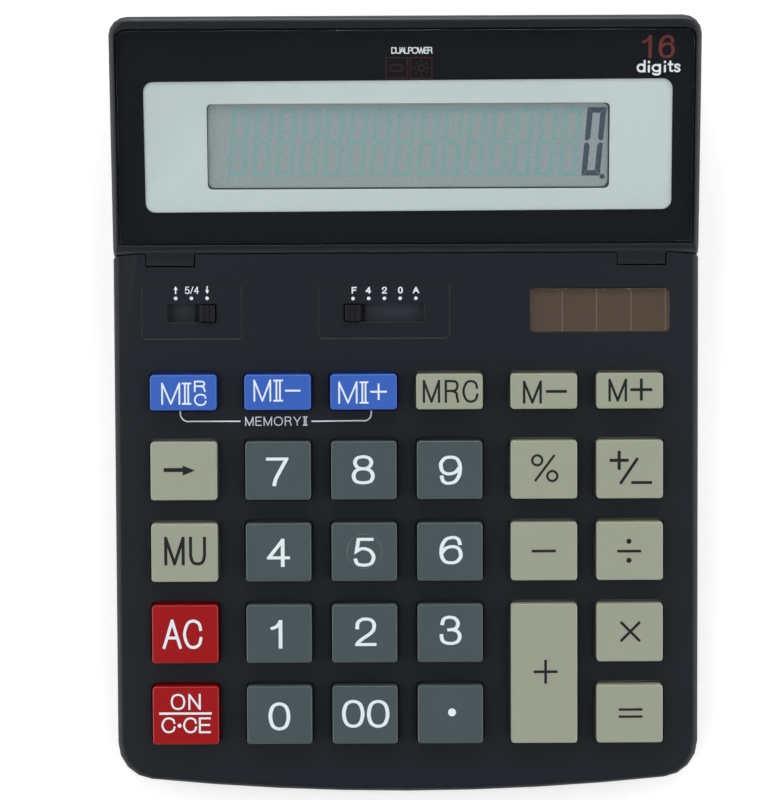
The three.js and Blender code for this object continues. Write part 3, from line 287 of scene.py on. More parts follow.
def made(tree, named, start, sizes):
    """Runs a recipe on a starting mesh with these sizes and gives the plain mesh."""
    maker = in_scene("maker", start)
    recipe = maker.modifiers.new("recipe", "NODES")
    recipe.node_group = tree
    for size, value in sizes.items():
        recipe[named[size]] = value
    graph = bpy.context.evaluated_depsgraph_get()
    mesh = bpy.data.meshes.new_from_object(maker.evaluated_get(graph))
    maker.modifiers.clear()
    bpy.data.objects.remove(maker)
    return mesh


def line_mesh(points):
    """A mesh of edges through points, to sweep or to turn."""
    mesh = bpy.data.meshes.new("line")
    mesh.from_pydata(points, [(i, i + 1) for i in range(len(points) - 1)], [])
    return mesh


def shut(mesh, turn=50):
    """Closes open ends, turns the faces outwards and marks the edges that stay sharp."""
    work = bmesh.new()
    work.from_mesh(mesh)
    bmesh.ops.remove_doubles(work, verts=work.verts, dist=2e-6)
    bmesh.ops.holes_fill(work, edges=work.edges, sides=0)
    bmesh.ops.recalc_face_normals(work, faces=work.faces)
    for face in work.faces:
        face.smooth = True
    for edge in work.edges:
        edge.smooth = edge.calc_face_angle(math.pi) < math.radians(turn)
    work.to_mesh(mesh)
    work.free()
    return mesh


zinc = moulded("zinc_plated_steel", "#8d9093", "#a3a5a6", 0.32, 0.3, 0.004, metal=1.0)
screw_recipe, size, screw_sizes = new_recipe("cross_recess_screw", {
    "Around": "Int", "Cross": "Float", "Slit": "Float", "Deep": "Float", "Head": "Float"})
side_line = add(screw_recipe, "GeometryNodeMeshToCurve", {"Mesh": size["Geometry"]})
circle = add(screw_recipe, "GeometryNodeCurvePrimitiveCircle", {"Resolution": size["Around"],
                                                                "Radius": 0.01 * mm})
turned = add(screw_recipe, "GeometryNodeCurveToMesh", {
    "Curve": circle.outputs[0], "Profile Curve": side_line.outputs[0]})
solid = add(screw_recipe, "GeometryNodeMergeByDistance", {"Geometry": turned.outputs[0],
                                                          "Distance": 0.03 * mm})
driven = add(screw_recipe, "GeometryNodeMeshBoolean", {"Mesh 1": solid.outputs[0]},
             operation="DIFFERENCE")
down = add(screw_recipe, "ShaderNodeCombineXYZ", {"Z": size["Head"]})
for long_way, short_way in (("Cross", "Slit"), ("Slit", "Cross")):
    wing_size = add(screw_recipe, "ShaderNodeCombineXYZ", {
        "X": size[long_way], "Y": size[short_way], "Z": size["Deep"]})
    wing = add(screw_recipe, "GeometryNodeMeshCube", {"Size": wing_size.outputs[0]})
    lowered = add(screw_recipe, "GeometryNodeTransform", {
        "Geometry": wing.outputs[0], "Translation": down.outputs[0]})
    screw_recipe.links.new(lowered.outputs[0], driven.inputs["Mesh 2"])
result(screw_recipe, driven.outputs[0], zinc)

head_height = 1.3


def screw_mesh(length):
    """A screw with its head down, its seat at height 0 and its point at length, in mm."""
    head_radius, crown, chamfer, thread, core, pitch, tip = 2.6, 0.9, 0.12, 1.3, 1.0, 0.9, 1.2
    outline = [(0, -head_height)]
    outline += [(head_radius - crown + crown * math.sin(a),
                 -head_height + 0.75 * (1 - math.cos(a)))
                for a in [math.radians(d) for d in (0, 25, 50, 70, 90)]]
    outline += [(head_radius, -chamfer), (head_radius - chamfer, 0), (thread, 0)]
    for i in range(int((length - tip - 0.2) / pitch)):
        z = 0.15 + i * pitch
        outline += [(core, z), (thread, z + 0.35), (thread, z + 0.45), (core, z + 0.8)]
    outline += [(core, length - tip), (0, length)]
    return made(screw_recipe, screw_sizes, line_mesh([(-x * mm, -z * mm, 0) for x, z in outline]), {
        "Around": 28, "Cross": 2.6 * mm, "Slit": 0.55 * mm, "Deep": 1.5 * mm,
        "Head": -head_height * mm})


def screw_set(name, body, nodes, length, slope):
    """Puts one screw in the place of each of the nodes and makes the set one piece."""
    work = bmesh.new()
    for node in nodes:
        low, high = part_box(node)
        middle = (Vector(low) + Vector(high)) / 2
        upright = Matrix.Rotation(slope, 4, "X")
        seat = upright @ Vector((0, 0, (head_height - length) / 2 * mm))
        screw = screw_mesh(length)
        screw.transform(Matrix.Translation(middle + seat) @ upright)
        work.from_mesh(screw)
    placed(name, shut(as_mesh(work), 35), body, [zinc], "steel", *nodes)


screw_set("body_screws", "body", ["body_screw_front_left", "body_screw_front_right",
                                  "body_screw_rear_left", "body_screw_rear_right"], 6.2, 0)
screw_set("display_screws", "display", ["display_screw_left", "display_screw_right"], 4.7,
          head_slope)


# The circuit board is green glass-fibre laminate with the processor and the bodies of the two
# slide switches soldered on. It lies on posts of the bottom cover.
laminate = moulded("fr4_laminate", "#1d3d28", "#254a30", 0.4, 1.2, 0.01)
switch_black = moulded("pbt_switch_body", "#15181c", "#191c20", 0.6, 0.4, 0.01, specular=0.3)
board_top = -7.2
board = placed("board_assembly", merged("main_board"), "body", [laminate, switch_black], "board",
               "main_board")
for face in board.data.polygons:
    if (deck.inverted() @ face.center).z > (board_top + 0.1) * mm:
        face.material_index = 1
soften(board, 0.1)


def rounded(width, depth, radius, x=0, y=0):
    """The points of a rounded rectangle, in the unit of its sizes."""
    points, steps = [], 8
    for turn, (right, back) in enumerate(((1, 1), (-1, 1), (-1, -1), (1, -1))):
        for i in range(steps + 1):
            a = math.radians(90 * (turn + i / steps))
            points.append((x + right * (width / 2 - radius) + radius * math.cos(a),
                           y + back * (depth / 2 - radius) + radius * math.sin(a)))
    return points


def joined_rings(work, rings):
    """Faces from each closed ring of points to the next."""
    for ring, following in zip(rings, rings[1:]):
        for i, corner in enumerate(ring):
            j = (i + 1) % len(ring)
            work.faces.new((corner, ring[j], following[j], following[i]))


def plate(outer, inner, heights, place):
    """A closed plate between two heights in mm, with an opening where inner is given."""
    work = bmesh.new()
    rings = [[work.verts.new((x * mm, y * mm, z * mm)) for x, y in line]
             for z in heights for line in (outer, inner) if line]
    if inner:
        rings = [rings[i] for i in (0, 2, 3, 1, 0)]
    else:
        for ring in rings:
            work.faces.new(ring)
    joined_rings(work, rings)
    bmesh.ops.recalc_face_normals(work, faces=work.faces)
    mesh = as_mesh(work)
    mesh.transform(place)
    return mesh


# One grey silicone mat with a dome under each key brings it back up. It gives way under the
# keys; it is compression-moulded and matt, and it stays the CAD solid.
def dressed(node, finish):
    """Gives a CAD node that stays as it is its finish."""
    for slot in frame["nodes"][node].material_slots:
        slot.material = finish


dressed("rubber_keypad", moulded("silicone_rubber", "#5c6063", "#64686b", 0.7, 0.4, 0.01))


# The keys are caps moulded in four colours of ABS, with rounded edges, a flat top, and a flange
# that stops them under the cover. One recipe makes them all: it sweeps the side line of the wall
# round the outline of the key, and the top and the underside are closed after it.
cap_recipe, size, cap_sizes = new_recipe("moulded_key_cap", {
    "Width": "Float", "Depth": "Float", "Corner": "Float"})
wall_line = add(cap_recipe, "GeometryNodeMeshToCurve", {"Mesh": size["Geometry"]})
plain = add(cap_recipe, "GeometryNodeCurvePrimitiveQuadrilateral", {"Width": size["Width"],
                                                                   "Height": size["Depth"]})
outline = add(cap_recipe, "GeometryNodeFilletCurve", {
    "Curve": plain.outputs[0], "Count": 6, "Radius": size["Corner"]}, mode="POLY")
wall = add(cap_recipe, "GeometryNodeCurveToMesh", {"Curve": outline.outputs[0],
                                                   "Profile Curve": wall_line.outputs[0]})

# ABS, four colours, from a polished and lightly blasted tool: a soft satin gloss
caps = {colour: moulded("abs_key_" + colour, dark, light, 0.3, 0.4, 0.004)
        for colour, dark, light in (("grey", "#424d50", "#455153"), ("beige", "#939786", "#979b8a"),
                                    ("blue", "#315ab0", "#3760b6"), ("red", "#920207", "#98040a"))}
result(cap_recipe, wall.outputs[0], caps["grey"])

# the side line of a cap from its hem up to its top: outwards and upwards, in mm
key_top, hem, flange_top, flange, draft = 3.6, -3.1, -2.3, 0.9, 0.06
rim_width, rim_height = 0.34, 0.2
rise = [(flange, hem), (flange, flange_top), (0, flange_top), (-draft, key_top - rim_height)]
rise += [(-draft - rim_width * (1 - math.cos(a)), key_top - rim_height + rim_height * math.sin(a))
         for a in [math.radians(d) for d in (12, 28, 45, 60, 76, 90)]]
rise += [(-0.5, key_top)]

# the middles of the columns and of the rows, and each key's column, row and colour
column = (-59.325, -34.245, -11.415, 11.415, 36.495, 59.325)
row = (21.45, 43.3, 65.15, 87, 107.9)
keys = {
    "memory2_recall": (0, 4, "blue"), "memory2_minus": (1, 4, "blue"),
    "memory2_plus": (2, 4, "blue"), "memory_recall": (3, 4, "beige"),
    "memory_minus": (4, 4, "beige"), "memory_plus": (5, 4, "beige"),
    "backspace": (0, 3, "beige"), "7": (1, 3, "grey"), "8": (2, 3, "grey"),
    "9": (3, 3, "grey"), "percent": (4, 3, "beige"), "sign": (5, 3, "beige"),
    "markup": (0, 2, "beige"), "4": (1, 2, "grey"), "5": (2, 2, "grey"),
    "6": (3, 2, "grey"), "minus": (4, 2, "beige"), "divide": (5, 2, "beige"),
    "all_clear": (0, 1, "red"), "1": (1, 1, "grey"), "2": (2, 1, "grey"),
    "3": (3, 1, "grey"), "plus": (4, 0.5, "beige"), "multiply": (5, 1, "beige"),
    "on_clear": (0, 0, "red"), "0": (1, 0, "grey"), "00": (2, 0, "grey"),
    "point": (3, 0, "grey"), "equals": (5, 0, "beige"),
}


def key_place(name):
    """The matrix that puts a point over the middle of a key, measured from the cover."""
    across, up, _ = keys[name]
    y = (row[math.floor(up)] + row[math.ceil(up)]) / 2
    return deck @ Matrix.Translation(Vector((column[across], y, 0)) * mm)


seated = Matrix.Translation((0, -0.12 * mm, 0))
for name, (_, up, colour) in keys.items():
    width = 17.5 if colour == "grey" else 17.75
    depth = 9.45 if up == 4 else 37.5 if name == "plus" else 15.6
    mesh = made(cap_recipe, cap_sizes, line_mesh([(x * mm, -z * mm, 0) for x, z in rise]), {
        "Width": width * mm, "Depth": depth * mm, "Corner": 0.9 * mm})
    shut(mesh).transform(key_place(name) @ seated)
    placed("cap_" + name, mesh, "key_" + name, [caps[colour]], colour + "_key_plastic",
           "key_" + name)


# The signs on the keys are pad-printed in white or black ink with one pen width each. A sign is
# drawn by its strokes: places in hundredths of its box, where a place given twice is a corner
# and the line runs smoothly through all others.
signs = {
    "0": "50,100 86,88 100,50 86,12 50,0 14,12 0,50 14,88 50,100",
    "1": "100,0 100,100|0,74 45,79 80,90 98,100",
    "2": "2,66 6,86 28,98 50,100 78,97 95,85 98,70 90,53 66,38 35,24 10,10 0,0 0,0 100,0",
    "3": "5,76 12,92 30,99 50,100 75,95 90,78 82,60 60,53 42,52|"
         "60,53 88,45 100,27 90,9 68,1 48,0 22,3 5,13 0,30",
    "4": "72,0 72,100|69,97 0,30 0,30 100,30",
    "5": "90,100 18,100 18,100 8,54 8,54 28,62 50,64 82,55 100,32 88,8 60,0 45,0 20,2 8,9 2,20",
    "6": "95,76 88,92 70,100 53,100 25,93 5,70 0,42 5,20 22,4 50,0 78,4 97,20 100,32 93,52 75,62"
         " 52,64 25,58 6,42",
    "7": "0,100 100,100 100,100 62,50 42,22 34,0",
    "8": "50,100 80,95 93,78 80,60 50,54 20,60 7,78 20,95 50,100|"
         "50,54 86,47 100,27 88,6 50,0 12,6 0,27 14,47 50,54",
    "9": "5,24 12,8 30,0 47,0 75,7 95,30 100,58 95,80 78,96 50,100 22,96 3,80 0,68 7,48 25,38"
         " 48,36 75,42 94,58",
    "A": "0,0 50,100 50,100 100,0|20,36 80,36",
    "C": "98,68 88,90 55,100 20,90 0,50 20,10 55,0 88,10 100,34",
    "D": "0,0 0,100 0,100 40,100 82,88 100,50 82,12 40,0 40,0 0,0",
    "E": "100,100 0,100 0,100 0,0 0,0 100,0|0,52 92,52",
    "F": "0,0 0,100 0,100 100,100|0,52 85,52",
    "L": "0,100 0,0 0,0 100,0",
    "M": "0,0 0,100 0,100 50,0 50,0 100,100 100,100 100,0",
    "N": "0,0 0,100 0,100 100,0 100,0 100,100",
    "P": "0,0 0,100 0,100 60,100 92,92 100,74 92,56 60,48 60,48 0,48",
    "R": "0,0 0,100 0,100 55,100 85,95 95,76 83,57 55,52 55,52 0,52|60,50 85,42 92,20 100,0",
    "U": "0,100 0,32 0,32 15,7 50,0 85,7 100,32 100,32 100,100",
    "W": "0,100 27,0 27,0 50,95 50,95 73,0 73,0 100,100",
    "Y": "0,100 50,42 50,42 50,0|50,42 100,100",
    "d": "100,0 100,100|100,35 85,8 50,0 15,10 0,33 15,58 50,67 85,58 100,35",
    "g": "100,100 100,30 90,8 50,0 10,10|100,68 85,42 50,35 15,45 0,68 15,92 50,100 85,92 100,68",
    "i": "0,0 0,56|0,97 0,100",
    "s": "95,85 75,97 45,100 12,93 5,75 30,58 70,45 97,28 85,6 50,0 20,3 0,15",
    "t": "45,100 45,25 60,4 100,2|0,72 100,72",
    "two": "28,0 28,100|72,0 72,100|0,100 100,100|0,0 100,0",
    "+": "0,50 100,50|50,0 50,100",
    "-": "0,50 100,50",
    "x": "0,0 100,100|0,100 100,0",
    "/": "0,0 100,100",
    "|": "50,0 50,100",
    "ring": "50,100 85,85 100,50 85,15 50,0 15,15 0,50 15,85 50,100",
    "frame": "0,0 100,0 100,0 100,100 100,100 0,100 0,100 0,0 0,0",
}
signs["O"] = signs["0"]


def smooth(run):
    """A smooth line through the places of a run, which closes if it ends where it starts."""
    steps = 6
    if len(run) < 3:
        return run
    ends = (run[-2], run[1]) if run[0] == run[-1] else (run[0], run[-1])
    held = [ends[0], *run, ends[1]]
    line = []
    for a, b, c, d in zip(held, held[1:], held[2:], held[3:]):
        for t in [i / steps for i in range(steps)]:
            line.append(0.5 * (2 * b + (c - a) * t + (2 * a - 5 * b + 4 * c - d) * t ** 2
                               + (3 * b - a - 3 * c + d) * t ** 3))
    return line + [run[-1]]


def pen_line(stroke):
    """The line that a stroke describes, in a box of size 1."""
    spots = [Vector([float(share) / 100 for share in spot.split(",")]) for spot in stroke.split()]
    runs = [[spots[0]]]
    for before, spot in zip(spots, spots[1:]):
        if spot == before:
            runs.append([spot])
        else:
            runs[-1].append(spot)
    line = [spots[0]]
    for run in runs:
        line += smooth(run)[1:]
    return line


def ribbon(line, pen):
    """Triangles along a line of that pen width; a free end reaches half a pen further."""
    closed = (line[0] - line[-1]).length < 1e-4
    if closed:
        line = line[:-1]
    count = len(line)
    sides = []
    for i, spot in enumerate(line):
        before = spot - line[i - 1] if closed or i else line[1] - spot
        after = line[(i + 1) % count] - spot if closed or i < count - 1 else before
        before, after = before.normalized(), after.normalized()
        left = Vector((-before.y - after.y, before.x + after.x)).normalized()
        reach = pen / 2 / max(left.dot(Vector((-after.y, after.x))), 0.1)
        if not closed and i == 0:
            spot = spot - after * pen / 2
        if not closed and i == count - 1:
            spot = spot + before * pen / 2
        sides.append((spot + left * reach, spot - left * reach))
    if closed:
        sides.append(sides[0])
    return [half for a, b in zip(sides, sides[1:])
            for half in ([a[1], b[1], b[0]], [a[1], b[0], a[0]])]


def clipped(shape, low, high):
    """The part of a flat shape that lies inside a box."""
    for axis in (0, 1):
        for bound, way in ((low[axis], 1), (high[axis], -1)):
            kept = []
            for a, b in zip(shape, shape[1:] + shape[:1]):
                inside = way * (a[axis] - bound)
                next_inside = way * (b[axis] - bound)
                if inside >= 0:
                    kept.append(a)
                if (inside < 0) != (next_inside < 0):
                    kept.append(a.lerp(b, inside / (inside - next_inside)))
            shape = kept
    return shape


def sign_shapes(sign, x, y, width, height, pen=None):
    """The flat shapes of one sign in a box round x and y. Figures have broad upright lines."""
    pen = pen or min(width, height)
    broad = 1.25 if sign.isdigit() else 1
    box = Vector((width / broad, height))
    corner = Vector((x / broad, y)) - box / 2
    if sign == "dot":
        return [[Vector((x + width / 2 * math.cos(a), y + height / 2 * math.sin(a)))
                 for a in [math.tau * i / 24 for i in range(24)]]]
    if sign == "arrow head":
        return [[corner, Vector((x + width / 2, y)), corner + Vector((0, height))]]
    shapes = []
    for stroke in signs[sign].split("|"):
        line = [corner + Vector((pen / 2 + spot.x * (box.x - pen),
                                 pen / 2 + spot.y * (box.y - pen))) for spot in pen_line(stroke)]
        # what ends at the side of the box stays whole: only slanting ends are cut
        spare = Vector((0.004, 0.004))
        shapes += [[Vector((spot.x * broad, spot.y))
                    for spot in clipped(shape, corner - spare, corner + box + spare)]
                   for shape in ribbon(line, pen)]
    return [shape for shape in shapes if len(shape) > 2]


def one_layer(shapes, place):
    """Flat shapes in mm, which may overlap, as one flat mesh that covers each place once."""
    spots, edges = [], []
    for shape in shapes:
        edges += [(len(spots) + i, len(spots) + (i + 1) % len(shape)) for i in range(len(shape))]
        spots += shape
    spots, _, faces, *_ = delaunay_2d_cdt(spots, edges, [], 0, 1e-4)
    x, y = np.array([sum((spots[i] for i in face), Vector((0, 0))) / 3 for face in faces]).T
    covered = np.zeros(len(faces), bool)
    for shape in shapes:
        sides = list(zip(shape, shape[1:] + shape[:1]))
        way = 1 if sum(a.cross(b) for a, b in sides) > 0 else -1
        inside = [way * ((b.x - a.x) * (y - a.y) - (b.y - a.y) * (x - a.x)) > 0 for a, b in sides]
        covered |= np.all(inside, axis=0)
    mesh = bpy.data.meshes.new("layer")
    mesh.from_pydata([(spot.x * mm, spot.y * mm, 0) for spot in spots], [],
                     [face for face, ink in zip(faces, covered) if ink])
    mesh.transform(place)
    return mesh


def ink_mesh(marks, place):
    """Marks on a plane: each is a sign, its middle, its size and its pen in mm."""
    return one_layer([shape for mark in marks for shape in sign_shapes(*mark)], place)


def raised(place, height):
    """A place that lies higher by so many mm."""
    return place @ Matrix.Translation((0, 0, height * mm))


def printed(name, mesh, body, finish, slot="black_plastic"):
    """A flat mesh as a print: ink 0.03 mm thick, sunk a little into what carries it."""
    film = placed(name, mesh, body, [finish], slot).modifiers.new("ink_film", "SOLIDIFY")
    film.thickness = 0.03 * mm
    film.offset = -1


# Pad-printing ink, white and black: dense and slightly silky over the plastic's grain
inks = {"white": moulded("ink_white", "#d3dde4", "#dbe4ea", 0.5, 0.3, 0.003),
        "black": moulded("ink_black", "#0b0e12", "#101317", 0.5, 0.3, 0.003, specular=0.3)}

# Each key's signs, in mm from its middle: sign, x, y, width, height and, but for a bar, the pen
key_signs = {
    "memory2_recall": [
        ("M", -3.27, -0.32, 5.04, 5.86, 0.46), ("two", 0.93, -0.34, 2.49, 5.87, 0.46),
        ("R", 4.47, 1.58, 3.13, 3.02, 0.42), ("C", 4.54, -1.99, 3.35, 3.23, 0.42)],
    "memory2_minus": [
        ("M", -4.03, 0.39, 4.69, 5.83, 0.46), ("two", 0.18, 0.37, 2.59, 5.84, 0.46),
        ("-", 4.06, 0.35, 4.15, 0.5)],
    "memory2_plus": [
        ("M", -4.13, -0.22, 5.1, 5.89, 0.46), ("two", 0.12, -0.24, 2.39, 5.9, 0.46),
        ("+", 4.01, -0.04, 4.38, 4.35, 0.5)],
    "memory_recall": [
        ("M", -4.78, -0.01, 4.62, 6.07, 0.62), ("R", 0.66, -0.03, 3.87, 6.08, 0.62),
        ("C", 5.55, -0.05, 4.29, 6.08, 0.62)],
    "memory_minus": [("M", -3.06, -0.34, 5.03, 6.07, 0.65), ("-", 3.32, -0.17, 5.58, 0.77)],
    "memory_plus": [("M", -3.23, 0.1, 4.94, 6.07, 0.65), ("+", 3.04, 0.21, 5.84, 5.83, 0.77)],
    "backspace": [("-", -2.79, 0.23, 5.09, 1.05), ("arrow head", 1.37, 0.07, 3.27, 2.63)],
    "7": [("7", -0.2, -0.38, 5.96, 7.64, 0.8)],
    "8": [("8", -0.18, 0.08, 6.1, 7.74, 0.8)],
    "9": [("9", 0.2, -0.13, 6.12, 7.74, 0.8)],
    "percent": [("ring", -1.8, 2.4, 3.3, 3.3, 0.62), ("ring", 2.21, -1.81, 3.3, 3.3, 0.62),
                ("/", 0.2, 0.33, 5.51, 7.13, 0.62)],
    "sign": [("+", -2.85, 2.3, 5.05, 5.05, 0.86), ("/", -0.23, -0.54, 5.08, 7.13, 0.78),
             ("-", 3.14, -3.65, 5.53, 0.78)],
    "markup": [("M", -2.65, 0.41, 5.45, 7.66, 0.82), ("U", 3.51, 0.38, 4.54, 7.67, 0.82)],
    "4": [("4", -0.04, -0.18, 6.15, 7.53, 0.8)],
    "5": [("5", 0.03, -0.12, 5.9, 7.69, 0.8)],
    "6": [("6", 0.28, 0.33, 6.2, 7.55, 0.8)],
    "minus": [("-", -0.09, -0.01, 6.42, 0.72)],
    "divide": [("-", -0.18, -0.14, 6.39, 0.72), ("dot", -0.24, 2.52, 1.38, 1.38),
               ("dot", -0.23, -2.6, 1.38, 1.38)],
    "all_clear": [("A", -3.46, -0.05, 5.09, 7.88, 0.78), ("C", 2.03, -0.07, 5.16, 7.88, 0.78)],
    "1": [("1", -0.7, -0.19, 3.15, 7.62, 0.8)],
    "2": [("2", 0.28, 0.39, 5.69, 7.63, 0.8)],
    "3": [("3", 0.1, 0.68, 5.9, 7.82, 0.8)],
    "plus": [("+", 0.36, 0.36, 6.42, 6.42, 0.72)],
    "multiply": [("x", 0.15, 0.14, 5.44, 5.46, 0.72)],
    "on_clear": [("O", -2.05, 3.59, 3.86, 4.32, 0.52), ("N", 2.37, 3.58, 3.3, 4.32, 0.52),
                 ("-", -0.1, 0.45, 14.04, 0.6), ("C", -4.66, -2.69, 3.78, 4.24, 0.52),
                 ("dot", -1.69, -2.81, 1.08, 1.08), ("C", 1.12, -2.71, 3.73, 4.25, 0.52),
                 ("E", 5.07, -2.73, 3.19, 4.25, 0.52)],
    "0": [("0", -0.06, -0.43, 5.85, 7.55, 0.8)],
    "00": [("0", -3.15, 0.18, 6.03, 7.5, 0.8), ("0", 3.51, 0.15, 6.03, 7.5, 0.8)],
    "point": [("dot", 0.41, 0.46, 2.15, 2.15)],
    "equals": [("-", 0.24, 1.02, 6.36, 0.65), ("-", 0.24, -0.9, 6.36, 0.65)],
}
ink_lift = 0.02
for name, marks in key_signs.items():
    colour = keys[name][2]
    on_top = raised(key_place(name), key_top + ink_lift)
    printed("sign_" + name, ink_mesh(marks, on_top), "key_" + name,
            inks["black" if colour == "beige" else "white"], colour + "_key_plastic")


# A fine half-round ring is moulded up on the middle key, so that the fingers find it without
# looking.
ring_x, ring_y, ring_radius, ring_half, ring_height = 0.03, 0.04, 4.6, 0.22, 0.12
turns, sides = 64, 8
work = bmesh.new()
rings = []
for turn in [math.tau * i / turns for i in range(turns)]:
    rings.append([])
    for a in [math.pi * k / sides for k in range(sides + 1)]:
        out = ring_radius + ring_half * math.cos(a)
        rings[-1].append(work.verts.new(Vector((
            ring_x + out * math.cos(turn), ring_y + out * math.sin(turn),
            ring_height * math.sin(a))) * mm))
joined_rings(work, rings + rings[:1])
finger_ring = as_mesh(work)
finger_ring.transform(raised(key_place("5"), key_top))
placed("cap_5_finger_ring", shut(finger_ring), "key_5", [caps["grey"]], "grey_key_plastic")


# White lines and words are screen-printed on the top cover: a bracket that joins the three blue
# keys, and the marks of the two switches.
def word(text, left, right, middle, height, pen):
    """The marks of a word of capitals and figures between two places on a line."""
    shares = {"L": 0.55, "E": 0.68, "P": 0.66, "R": 0.74, "U": 0.74, "D": 0.76, "Y": 0.82,
              "A": 0.8, "M": 0.92, "O": 0.98, "W": 1.1, " ": 0.3, "two": 0.52}
    widths = [height * shares[letter] for letter in text]
    between = (right - left - sum(widths)) / (len(text) - 1)
    marks = []
    for letter, width in zip(text, widths):
        if letter != " ":
            marks.append((letter, left + width / 2, middle, width, height, pen))
        left += width + between
    return marks


cover_top = raised(deck, ink_lift)
bracket = [[(-60.36, 102.55), (-60.1, 101.1), (-58.86, 99.98), (-56, 99.92), (-44.45, 99.89)],
           [(-25.19, 99.8), (-13, 99.92), (-10.81, 99.95), (-9.6, 100.9), (-9.38, 102.41)]]
bracket = [shape for line in bracket for shape in ribbon(smooth([Vector(v) for v in line]), 0.33)]
printed("memory_bracket_print", one_layer(bracket, cover_top), "body", inks["white"])
memory_word = word([*"MEMORY", "two"], -43.05, -26.4, 99.88, 2.45, 0.27)
printed("memory_word_print", ink_mesh(memory_word, cover_top), "body", inks["white"])

band_top = raised(deck, field_floor + ink_lift)
switch_marks = [
    ("|", -61.28, 134.6, 0.35, 1.4), ("5", -58.2, 134.9, 1.25, 1.95, 0.22),
    ("/", -57.0, 134.9, 0.9, 1.95, 0.24), ("4", -55.75, 134.9, 1.35, 1.95, 0.22),
    ("|", -52.9, 135.3, 0.35, 1.4),
    ("F", -13.79, 134.7, 1.35, 1.8, 0.35), ("4", -10.02, 134.7, 1.5, 1.8, 0.3),
    ("2", -5.75, 134.7, 1.35, 1.8, 0.3), ("0", -1.49, 134.7, 1.3, 1.8, 0.3),
    ("A", 2.66, 134.7, 1.75, 1.8, 0.35)]
switch_ink = [shape for mark in switch_marks for shape in sign_shapes(*mark)]
# the heads of the two small arrows over the rounding switch, one up and one down
for x, base, tip in ((-61.28, 135.0, 136.0), (-52.9, 134.9, 133.9)):
    switch_ink.append([Vector((x - 0.55, base)), Vector((x + 0.55, base)), Vector((x, tip))])
printed("switch_marks_print", one_layer(switch_ink, band_top), "body", inks["white"])

row_recipe, size, row_sizes = new_recipe("marks_in_a_row", {"Count": "Int", "Pitch": "Float"})
step = add(row_recipe, "ShaderNodeCombineXYZ", {"X": size["Pitch"]})
line = add(row_recipe, "GeometryNodeMeshLine", {"Count": size["Count"], "Offset": step.outputs[0]})
marks = add(row_recipe, "GeometryNodeInstanceOnPoints", {"Points": line.outputs[0],
                                                         "Instance": size["Geometry"]})
result(row_recipe, marks.outputs[0], inks["white"])
for switch, first, y, count, pitch in (("rounding", -61.3, 132.75, 3, 4.19),
                                       ("decimal", -14.11, 132.53, 5, 4.18)):
    dot = ink_mesh([("dot", first, y, 0.95, 0.95)], Matrix())
    dots = made(row_recipe, row_sizes, dot, {"Count": count, "Pitch": pitch * mm})
    dots.transform(band_top)
    printed(switch + "_dots_print", dots, "body", inks["white"])


# The knobs of the two slide switches are moulded in black ABS, with three ribs across for the
# finger. Their stems reach down to the switches on the board, and a black polyester film under
# each knob slides along with it, so that the slot stays closed. The film is coloured a lighter
# grey than black: painted light that makes up for the shade deep in the slot.
knob_black = moulded("abs_knob_black", "#090c11", "#0c0f14", 0.48, 0.4, 0.008, specular=0.25)
# the film's grey is painted light: lighter than black, against the shade down in the slot
painted_light_film = moulded("pet_film_painted_light", "#363b43", "#3a3f47", 0.5, 0.4, 0.003, specular=0.25)
for switch, (x, length, travel) in slots.items():
    knob = switch + "_knob"
    soften(placed(knob + "_cap", merged(knob), switch, [knob_black], "black_plastic", knob), 0.1)
    knob_low, knob_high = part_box(knob)
    middle = (knob_low.x + knob_high.x) / 2 / mm
    film = plate(rounded(length + travel + 1.6, 8, 0.4, middle, slot_y), None, (-3.24, -3.12), deck)
    placed(switch + "_film", film, switch, [painted_light_film], "black_plastic")


# The solar cell lies in a shallow seat of the band, under a clear acrylic window. It is amorphous
# silicon on glass: brown, with lines where one cell ends and the next starts.
# PMMA, moulded clear and glossy; the lamps shine through it on what lies under it
acrylic, tree, where = new_finish("pmma_clear")
tint = linear("#fbfcfc")
flow = add(tree, "ShaderNodeTexNoise", {"Vector": where, "Scale": 1 / (14 * mm), "Detail": 1})
bump = add(tree, "ShaderNodeBump", {"Height": flow.outputs["Fac"], "Distance": 0.02 * mm,
                                    "Strength": 0.3})
solid = add(tree, "ShaderNodeBsdfPrincipled", {
    "Base Color": tint, "Roughness": 0.02, "IOR": 1.49, "Transmission Weight": 1.0,
    "Normal": bump.outputs["Normal"]})
light = add(tree, "ShaderNodeBsdfTransparent", {"Color": tint})
path = add(tree, "ShaderNodeLightPath")
shown(tree, add(tree, "ShaderNodeMixShader", {
    0: path.outputs["Is Shadow Ray"], 1: solid.outputs[0], 2: light.outputs[0]}).outputs[0])

silicon = moulded("amorphous_silicon_film", "#4e3f35", "#534539", 0.35, 0.8, 0.004, specular=0.2)
cell_edge = moulded("cell_edge_film", "#6b5a50", "#75645a", 0.35, 0.5, 0.004)
solar_x, solar_y, solar_width, solar_depth = 51.48, 129.2, 37, 11.5
cell_top, gap_share, first_share = -0.62, 0.2476, 0.2373
solar_film = plate(rounded(solar_width, solar_depth, 0.9, solar_x, solar_y), None,
                   (-0.8, cell_top), deck)
placed("solar_film", solar_film, "body", [silicon], "solar_glass")
first_x = solar_x + (first_share - 0.5) * solar_width - 0.2
strip = plate(rounded(0.26, solar_depth - 0.6, 0.05, first_x, solar_y), None, (cell_top, -0.6),
              Matrix())
strips = made(row_recipe, row_sizes, strip, {"Count": 4, "Pitch": gap_share * solar_width * mm})
strips.transform(deck)
placed("solar_cell_lines", strips, "body", [cell_edge], "solar_glass")
soften(placed("solar_panel", merged("solar_cell"), "body", [silicon], "solar_glass",
              "solar_cell"), 0.1)
soften(placed("solar_window_pane", merged("solar_window"), "body", [acrylic], "clear_lens",
              "solar_window"), 0.12)


